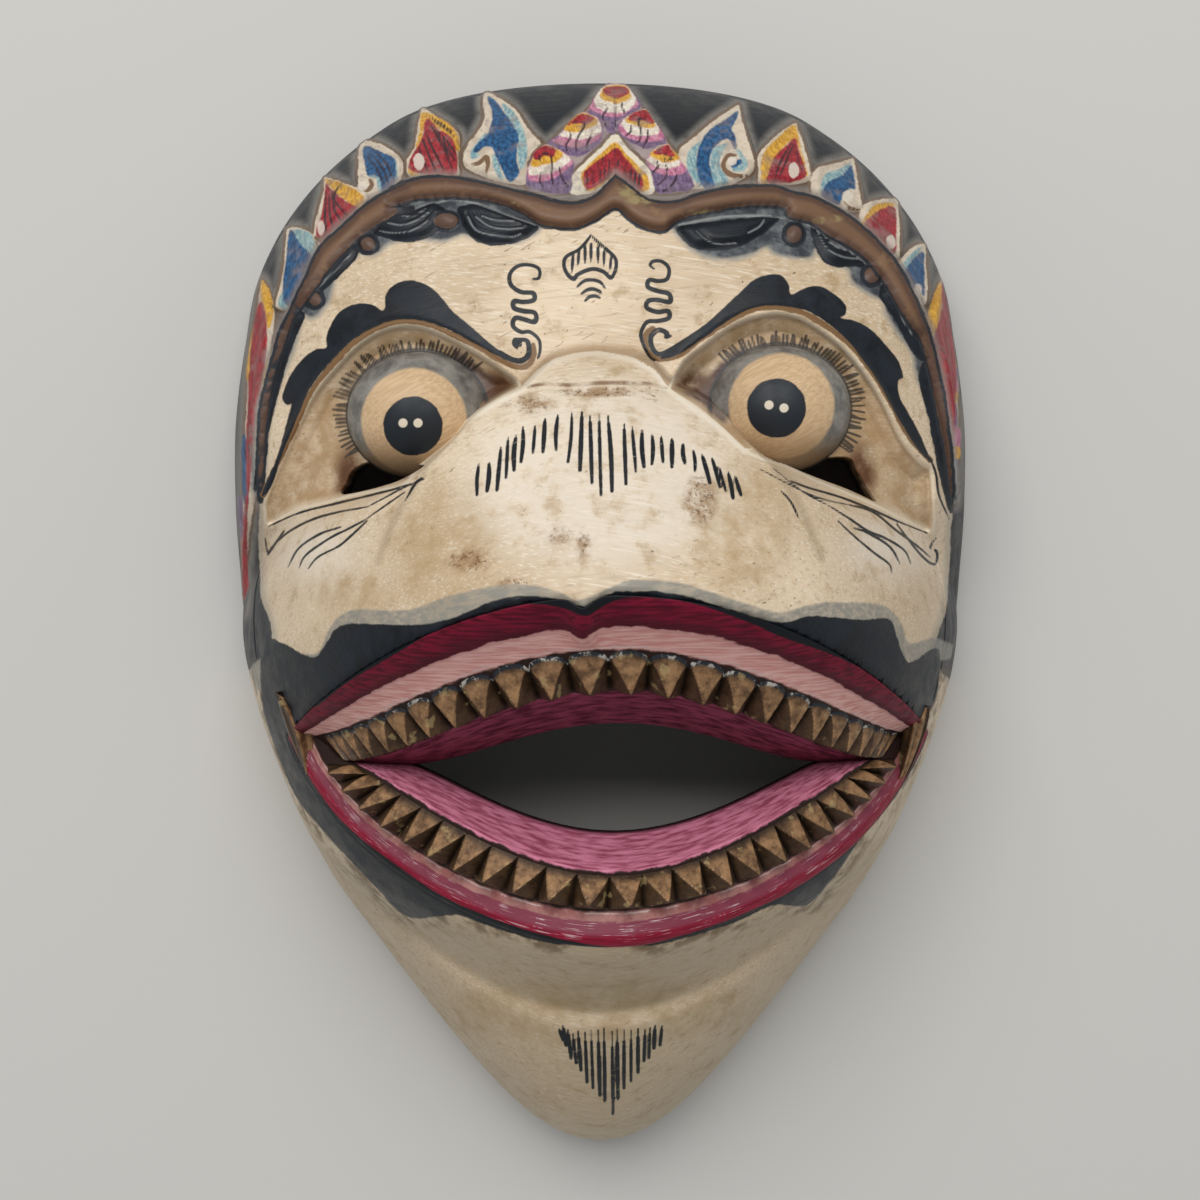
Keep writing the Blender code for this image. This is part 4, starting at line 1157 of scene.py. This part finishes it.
# Crown: slate black, grey where the brush went round the leaves, which are cream with a brown edge.
slate = coat("#0b0f14", "#181f27", fade(mottle, 0.35, 0.7))
ground = coat(slate, "#8b857c", times(layer("leaf", 11, 1), fade(mottle, 0.3, 0.6, 0.35, 0.8)))
leaf = coat("#b9a995", "#d9cab3", fade(mottle, 0.36, 0.6))
leaf = coat(leaf, "#84707a", times(edge("kite", -1), fade(mottle, 0.35, 0.6, 0.5, 0.9)))
colour = coats(colour, (
    (ground, edge("crown")),
    ("#6f5c4c", edge("leaf", 2.0)),
    (leaf, edge("leaf", -1.2)),
    ("#6f5c4c", times(edge("chevron", 5.5), edge("kite"))),
    ("#d9cdb6", edge("chevron", 2.0)),
))
LEAF_PAINTS = (
    ("sky", "#6f9299", "#9fb4ae"), ("blue", "#143b5e", "#285c87"), ("plum", "#5f4a66", "#7c6480"),
    ("pink", "#a9607c", "#c78a9c"), ("bone", "#cdbfae", "#e6dccb"), ("gold", "#bb8426", "#d9a83f"),
    ("red", "#7d1722", "#a42c33"),
)
for name, low, high in LEAF_PAINTS:
    colour = coat(colour, coat(low, high, fade(brushed, 0.38, 0.64)), edge(name, 0.3, 1.2, 0.9))
colour = coats(colour, (
    ("#857670", times(times(fade(mottle, 0.5, 0.66, 0, 0.55), layer("leaf", 0, -4)), edge("crown"))),
    ("#2a1c22", times(edge("stripe", 0.3, 0.7, 0.3), 0.9)),
    ("#74583f", edge("curl", wobble=0.5)),
    ("#d6cabb", times(edge("tear"), 0.8)),
    ("#857870", times(layer("band", 11, 2), times(edge("crown"), 0.75))),
))

# Hair locks, studs and the brown band: the studs ringed in dark paint, the band darker towards its
# edges and lighter in the middle in painted shade and highlight, with a dark rim of painted shadow
# round it, and a few ochre rubs on the band.
locks = coat(slate, "#7a7c7c", layer("groove", 0.4, 1.5, 0.8, 0))
murky = coat("#34383d", "#6d6f6f", fade(mottle, 0.42, 0.66))
murky = coat(murky, "#9a9a96", layer("groove", 0.3, 2.2, 0.7, 0))
# The band's brown, darker at its edges and lighter inward: painted shade and highlight.
brown = coats(coat("#563d2f", "#74563f", layer("band", -3, -9)), (
    ("#8d6c4d", fade(mottle, 0.56, 0.7, 0, 0.5)),
    ("#8f7d55", times(layer("ochre", 3, -3), fade(mottle, 0.4, 0.55))),
))
colour = coats(colour, (
    ("#8f8c84", times(layer("hair", 7, 1), fade(mottle, 0.3, 0.6, 0.45, 0.9))),
    (murky, edge("hair", 0.5, 2.0)),
    (locks, edge("lock", 0.5)),
    ("#20242a", edge("knob", 3.5)),
    ("#5e473a", edge("knob", -1.5)),
    # A dark rim round the band: painted shadow.
    ("#24272c", edge("band", 2.4)),
    (brown, edge("band", -0.8)),
))

# Painted shade in brown just below the mouth where the face leans to the chin; black and grey round
# the mouth, brows, ink lines, lids and lashes; bare wood behind, along its grain.
painted_jaw_shade = times(layer("mouth", 15, 3), layer("down", 0.05, 0.2))
wood = coat("#3f3024", "#6b533c", fade(noise(1.1, (1, 16, 16), 0.0, 4), 0.35, 0.7))
colour = coats(colour, (
    ("#6f5a40", times(painted_jaw_shade, fade(mottle, 0.42, 0.6, 0, 0.8))),
    ("#8a867c", times(edge("smudge", 1.0, 1.6), fade(grain, 0.35, 0.6, 0.65, 0.95))),
    (slate, edge("mouth", 0, 1.0)),
    ("#7a5a38", edge("ridge", 3.0)),
    (slate, edge("brow", 0.5, wobble=0.6)),
    ("#101418", times(edge("ink", 0.3, 0.6, 0.25), fade(scratch, 0.28, 0.36, 0.75, 1.0))),
    ("#3d3f40", times(socket, layer("lid", 3.2, 1.2, 0, 0.85))),
    ("#2e2925", times(edge("lash", 0.3, 0.6, 0.2), 0.85)),
    (wood, layer("bare", 3.0, 4.0)),
))
finish_coat(colour, fade(mottle, 0.3, 0.7, 0.36, 0.55), calc("ADD", grain, times(mottle, 0.6)), 0.08)
for piece in (body, upper_face, chin_patch, crown):
    draw_layers(piece)
    hand_over(piece, painted)


# The lips and the sloping walls of the mouth: one profile carried round the mouth's loops, cut in the
# same wood. Crimson and wine red lips with a pink inner edge, then the pink walls, all brushed along
# the wood, so the streaks run round the mouth, and black where the lips meet the face. On them lie a
# painted highlight along the upper lip's ridge, dark brown under and round the teeth, partly painted
# shade, a darker copy of the pink as painted shade on the upper wall, and painted shade deep in the
# opening.
MOUTH_STEPS = 640
PROFILE = ((0, 18, 0.8), (1, 14, -0.35), (2, 12, -0.5), (3, 24, 0.7))
LIPS = outlines("""
    274,700 290,692 312,708 348,682 399,652 447,624 490,609 514,604 545,605 566,609 586,616 604,606 633,597
    691,603 748,622 779,636 835,656 886,681 924,698 934,700 925,740 895,795 861,838 812,880 759,907 700,930
    631,947 577,942 520,928 450,900 395,864 342,821 305,770
""")[0]


def in_mouth(first, share, turn):
    """Points between two loops: x, y and depth straight from one to the next, z = envelope(x, y)
    - depth."""
    a, b = (np.array(mouth_loop(MOUTH_LOOPS[k], turn)) for k in (first, first + 1))
    if np.ndim(share) == 2:
        a, b = a[:, None], b[:, None]
    x, y, depth = a + (b - a) * share
    return np.stack([x, y, envelope(x, y, rho_of(x, y)) - depth], -1)


around = np.linspace(0, 2 * math.pi, MOUTH_STEPS, endpoint=False)
rings, places = [], []
for first, count, bulge in PROFILE:
    for t in np.arange(count) / count:
        ring = in_mouth(first, t, around)
        ring[:, 2] += bulge * 4 * t * (1 - t) + 0.35 * bell(first + t, 0.3)
        rings.append(ring)
        places.append(first + t)
rings.append(in_mouth(3, 1.0, around))
places.append(4.0)
for drop in (2.0, 4.5, 7.0):
    rings.append(rings[-1] - (0, 0, 2.4))
    places.append(4.0 + drop / 7)
for k in (2, 1, 0):
    rings.append(in_mouth(k, 0.9 if k else 0.0, around) - (0, 0, 7.0 if k else 5.2))
    places.append(5.0 + k)
n, count = MOUTH_STEPS, len(rings)
here = (np.arange(count)[:, None] * n + np.arange(n)).ravel()
after = (np.arange(count)[:, None] * n + (np.arange(n) + 1) % n).ravel()
tube = np.column_stack([here, after, (after + n) % (n * count), (here + n) % (n * count)])
lips = new_piece("lips", np.concatenate(rings), tube.tolist())
around = np.tile(around, count)
column, row = drawn(*place_of(lips))
store(lips, {
    "across": np.repeat(places, n), "up": np.sin(around), "side": np.cos(around),
    "lip": away(LIPS, column, row),
})

lip_paint, tree, shader = new_material("lip_paint")
across, up = field("across"), field("up")
upper = fade(up, -0.02, 0.02)
mottle = noise(4, detail=5, rough=0.65)
grain = noise(0.7, (10, 1, 1), 0.0, 4)
run = add("CombineXYZ", {0: times(field("side"), 11), 1: times(up, 11), 2: times(across, 13)})
streak = add("TexNoise", {"Vector": run.outputs[0], "Scale": 1.0, "Detail": 4.0}).outputs[0]
uneven = times(calc("SUBTRACT", noise(3), 0.5), 0.25)
across = calc("ADD", across, uneven)
rubbed = times(fade(mottle, 0.42, 0.58), fade(across, 0.25, 0.6))
crimson = coats(coat("#760823", "#9a1237", fade(streak, 0.35, 0.65)), (
    ("#7c3a48", fade(across, 0.55, 1.0, 0, 0.9)),
    ("#c9b0ae", times(fade(streak, 0.56, 0.66, 0, 0.8), rubbed)),
))
wine = coat("#4e0317", "#7c0a2b", fade(grain, 0.35, 0.65))
wine = coat(wine, "#4b1420", fade(across, 0.55, 0.85, 0, 0.7))
pink = coat("#d8958c", "#f2c0b6", fade(grain, 0.35, 0.65))
rose = coat("#8c5450", "#ab7a72", fade(mottle, 0.35, 0.65))
inner_lip = times(fade(across, 0.92, 1.0), calc("MAXIMUM", upper, fade(across, 1.42, 1.52)))
low_wall = coat("#914358", "#cf7f97", fade(streak, 0.3, 0.65))
# The upper wall: the same pink, darker, as painted shade.
shaded_high_wall = coat("#521c2d", "#93435a", fade(streak, 0.3, 0.65))
colour = coats(coat(crimson, wine, upper), (
    (coat(rose, pink, upper), inner_lip),
    # A painted highlight along the upper lip's ridge.
    ("#d39c96", times(line_at(across, 1.0, 0.0, 0.09, 0.7), upper)),
    ("#cdbcb4", times(line_at(across, 1.86, 0.0, 0.06, 0.8), fade(mottle, 0.42, 0.58))),
    # Dark brown under and round the teeth, partly painted shade in the gaps.
    ("#2c1c16", fade(across, 1.9, 2.02)),
    (coat(low_wall, shaded_high_wall, upper), fade(across, 2.94, 3.0)),
    # Painted shade deep in the opening.
    ("#3b1620", fade(across, 3.9, 4.6)),
    ("#0f1317", fade(calc("ADD", field("lip"), times(uneven, 6)), -0.8, 0.8)),
))
finish_coat(colour, fade(mottle, 0.3, 0.7, 0.42, 0.6), grain, 0.08, 0.2)
hand_over(lips, lip_paint)


# The teeth: two rows of pointed studs and a ridged bar in each corner, cut in the same wood and
# coated in bronze paint, with a few rubbed bright spots and a slate and chalk top edge; painted shade
# darkens the side facets and the valleys between them, so the wide flats stay bright.
UPPER_TEETH, LOWER_TEETH, TOOTH_HEIGHT = 25, 23, 4.4


def tooth_row(name, count, upper):
    """Studs h = H min(u/.5, (1-u)/.5, v/.72, (1-v)/.28), each over its own u, v square between
    the loops, its wide side up, with the upper teeth's wide side rounded."""
    turn = np.linspace(0.0, math.pi, 400) * (1 if upper else -1)
    steps = np.linalg.norm(np.diff(in_mouth(2, 0.5, turn), axis=0), axis=1)
    run = np.concatenate([[0], np.cumsum(steps)])
    per, pull = 16, 0.33 if upper else 0.12
    s = np.linspace(-1, 1, count * per + 1)
    small = np.sqrt(1 - 3 * pull * s**2 / (1 + pull))
    along = 0.499 + (0.484 if upper else 0.465) * ((1 + pull) * s - pull * s**3)
    at = np.interp(along * run[-1], run, turn)
    u = (np.arange(count * per + 1) % per) / per
    v = np.linspace(0, 1, 17)[:, None]
    scallop = (0.24 if upper else 0.0) * (1 - np.sqrt(np.clip(1 - (2 * u - 1) ** 2, 0, 1)))
    scallop = scallop * small + (0.0 if upper else 0.13)
    w = scallop + (0.97 - scallop) * v
    rows = [in_mouth(2, w if upper else 1 - w, at + d) for d in (0.0, 0.004)]
    across, down = rows[1] - rows[0], np.gradient(rows[0], axis=0)
    out = np.cross(across, down)
    out *= np.sign(out[..., 2:]) / np.linalg.norm(out, axis=-1, keepdims=True)
    height = np.minimum(np.minimum(u, 1 - u) / 0.5, np.minimum(v / 0.72, (1 - v) / 0.28))
    top = rows[0] + out * (height * small * TOOTH_HEIGHT - 0.2)[..., None]
    under = rows[0][::8, ::8] - (0, 0, 3.0)
    piece = sheet(name, top, under, 8)
    piece.data.polygons.foreach_set("use_smooth", np.zeros(len(piece.data.polygons), bool))
    facet = np.minimum(u, 1 - u) / 0.5 - v / 0.72
    rest = np.zeros(under[..., 0].size)
    store(piece, {
        "height": np.concatenate([height.ravel(), rest]),
        "facet": np.concatenate([facet.ravel(), rest - 1]),
        "top": np.concatenate([np.broadcast_to(v if upper else 1.0, height.shape).ravel(), rest + 1]),
    })
    return piece


upper_teeth = tooth_row("upper_teeth", UPPER_TEETH, True)
lower_teeth = tooth_row("lower_teeth", LOWER_TEETH, False)

CORNERS = (
    ("left_corner_tooth", 57.5, ((277, 692), (282, 715), (289, 738), (297, 760), (306, 786)),
     ((292, 702), (314, 718), (320, 742), (319, 766), (312, 790))),
    ("right_corner_tooth", 50.0, ((902, 712), (902, 730), (900, 750), (897, 770), (893, 790)),
     ((929, 706), (927, 724), (921, 746), (913, 768), (900, 794))),
)
corner_teeth = []
for name, high, left, right in CORNERS:
    sides = [flowing(side, False, 12) for side in (left, right)]
    v = np.linspace(0, 1, 25)[:, None, None]
    px = sides[0] * (1 - v) + sides[1] * v
    ridge = np.minimum(v[..., 0] / 0.3, (1 - v[..., 0]) / 0.7) + 0.12 * np.sin(v[..., 0] * 19)
    step = np.arange(len(sides[0]))
    ends = ramp(step, 0, 8) * ramp(step[::-1], 0, 8)
    z = high - 1.0 + 3.4 * ridge * ends + 6 * (np.linspace(1, 0, len(ends)) - 0.5)
    k = (EYE_HEIGHT - high) / DRAWING_SCALE
    top = np.stack([(px[..., 0] - 600) * k, (600 - px[..., 1]) * k, z], -1)
    piece = sheet(name, top, top[::8, ::8] - (0, 0, 9), 8)
    rest = np.zeros(4 * 7)
    store(piece, {
        "height": np.concatenate([ridge.repeat(len(ends), 1).ravel(), rest]),
        "facet": np.concatenate([(v[..., 0] - 0.35).repeat(len(ends), 1).ravel(), rest]),
        "top": np.ones(ridge.size * len(ends) + len(rest)),
    })
    corner_teeth.append(piece)

bronze, tree, shader = new_material("bronze_paint")
mottle = noise(2.4, detail=5, rough=0.7)
chalk = coat("#272c32", "#b9b4aa", fade(mottle, 0.52, 0.6))
colour = coats(coat("#59402b", "#a17b55", fade(mottle, 0.3, 0.68)), (
    # Painted shade on the side facets and, darker, in the low valleys between the studs.
    ("#2c1e13", layer("facet", 0.02, -0.08, 0, 0.8)),
    ("#1c130d", layer("height", 0.3, 0.02, 0, 0.85)),
    (chalk, layer("top", 0.12, 0.06)),
    ("#b09a6a", fade(noise(3.1, detail=4), 0.61, 0.68, 0, 0.5)),
))
finish_coat(colour, fade(mottle, 0.3, 0.7, 0.3, 0.5), mottle, 0.12)
shader.inputs["Metallic"].default_value = 0.2
for piece in (upper_teeth, lower_teeth, *corner_teeth):
    hand_over(piece, bronze)


# The eyeballs, left standing in their sockets when the wood round them was cut away: slate grey, with
# a tan disc, a black pupil and two cream dots, in oil paint laid on round the ball; the disc darker
# towards its bottom in painted shade.
EYE_FRONT, EYE_ACROSS, EYE_UP, EYE_DEEP = 62.5, 14.9, 13.2, 12.6
DISCS = (
    ((414, 421), 53, (413, 426), 30, ((403, 423), (418, 423))),
    ((781.5, 406), 53, (776.5, 408), 30, ((769, 405), (784, 408))),
)
eyes = []
for name, (column, row) in EYES:
    rho, turn = disc_grid(96, 96)
    middle = np.array([column - 600, 600 - row]) * (EYE_HEIGHT - 55) / DRAWING_SCALE
    ball = np.stack([
        middle[0] + EYE_ACROSS * rho * np.cos(turn),
        middle[1] + EYE_UP * rho * np.sin(turn),
        EYE_FRONT - EYE_DEEP + EYE_DEEP * np.sqrt(np.maximum(1 - rho**2, 0)),
    ], -1)
    under = ball[::8, ::8].copy()
    under[..., 2] = EYE_FRONT - EYE_DEEP - 4
    eyes.append(sheet(name, ball, under, 8))

eye_paint, tree, shader = new_material("eye_paint")
mottle = noise(4, detail=5, rough=0.65)
uneven = times(calc("SUBTRACT", noise(2), 0.5), 3.0)
grain = noise(0.45, (14, 1, 1), 0.5, 4)
grey = coat("#5d5a55", "#8f8b82", fade(mottle, 0.3, 0.7))
grey = coat(grey, "#7b654c", layer("low", 0.35, 0.75))
tan = coat("#bb9c77", "#d2b48d", fade(grain, 0.3, 0.7))
# Painted shade: the disc darker towards its bottom.
tan = coat(tan, "#84684a", layer("low", 0.2, 0.8, 0, 0.7))
colour = coats(grey, (
    (tan, fade(calc("ADD", field("disc"), uneven), 1.5, -2.0)),
    ("#1c2127", fade(calc("ADD", field("pupil"), times(uneven, 0.9)), 0.4, -1.2)),
    ("#d8ccb8", layer("dots", 0.7, -0.7)),
    ("#33302c", layer("edge", 0.95, 0.985)),
))
finish_coat(colour, fade(mottle, 0.3, 0.7, 0.42, 0.55), grain, 0.015)
for piece, (disc_at, disc_r, pupil_at, pupil_r, dots) in zip(eyes, DISCS):
    x, y, z = place_of(piece)
    column, row = drawn(x, y, z)
    store(piece, {
        "disc": spots([(disc_at, disc_r, disc_r)], column, row),
        "pupil": spots([(pupil_at, pupil_r, pupil_r)], column, row),
        "dots": spots([(d, 4.6, 4.6) for d in dots], column, row),
        "low": -(y - y.mean()) / EYE_UP,
        "edge": np.hypot((x - x.mean()) / EYE_ACROSS, (y - y.mean()) / EYE_UP),
    })
    hand_over(piece, eye_paint)


# A plain pale floor, soft daylight from a wide window above the crown's end, and the camera straight
# over the mask at the drawing's eye.
floor_mesh = bpy.data.meshes.new("floor")
floor_mesh.from_pydata([(-9, -9, 0), (9, -9, 0), (9, 9, 0), (-9, 9, 0)], [], [(0, 1, 2, 3)])
floor = bpy.data.objects.new("floor", floor_mesh)
bpy.context.scene.collection.objects.link(floor)
floor_paint, tree, shader = new_material("pale_floor")
shader.inputs["Base Color"].default_value = hexed("#c9c6c0")
shader.inputs["Roughness"].default_value = 0.9
floor.data.materials.append(floor_paint)

world = bpy.data.worlds.new("daylight")
world.use_nodes = True
world.node_tree.nodes["Background"].inputs[0].default_value = hexed("#e9edf2")
world.node_tree.nodes["Background"].inputs[1].default_value = 0.52
bpy.context.scene.world = world
light = bpy.data.lights.new("sky_window", "AREA")
light.shape, light.size, light.size_y, light.energy = "RECTANGLE", 1.1, 0.8, 12.5
window = bpy.data.objects.new("sky_window", light)
window.location, window.rotation_euler = (-0.12, 0.62, 1.15), (math.radians(-28), math.radians(-6), 0)
bpy.context.scene.collection.objects.link(window)

camera = bpy.data.objects.new("camera", bpy.data.cameras.new("camera"))
camera.data.sensor_width = 36.0
camera.data.lens = 36.0 * DRAWING_SCALE / 1200
camera.location = (0, LIE_Y / 1000, EYE_HEIGHT / 1000)
bpy.context.scene.collection.objects.link(camera)
bpy.context.scene.camera = camera
bpy.context.scene.view_settings.view_transform = "Standard"
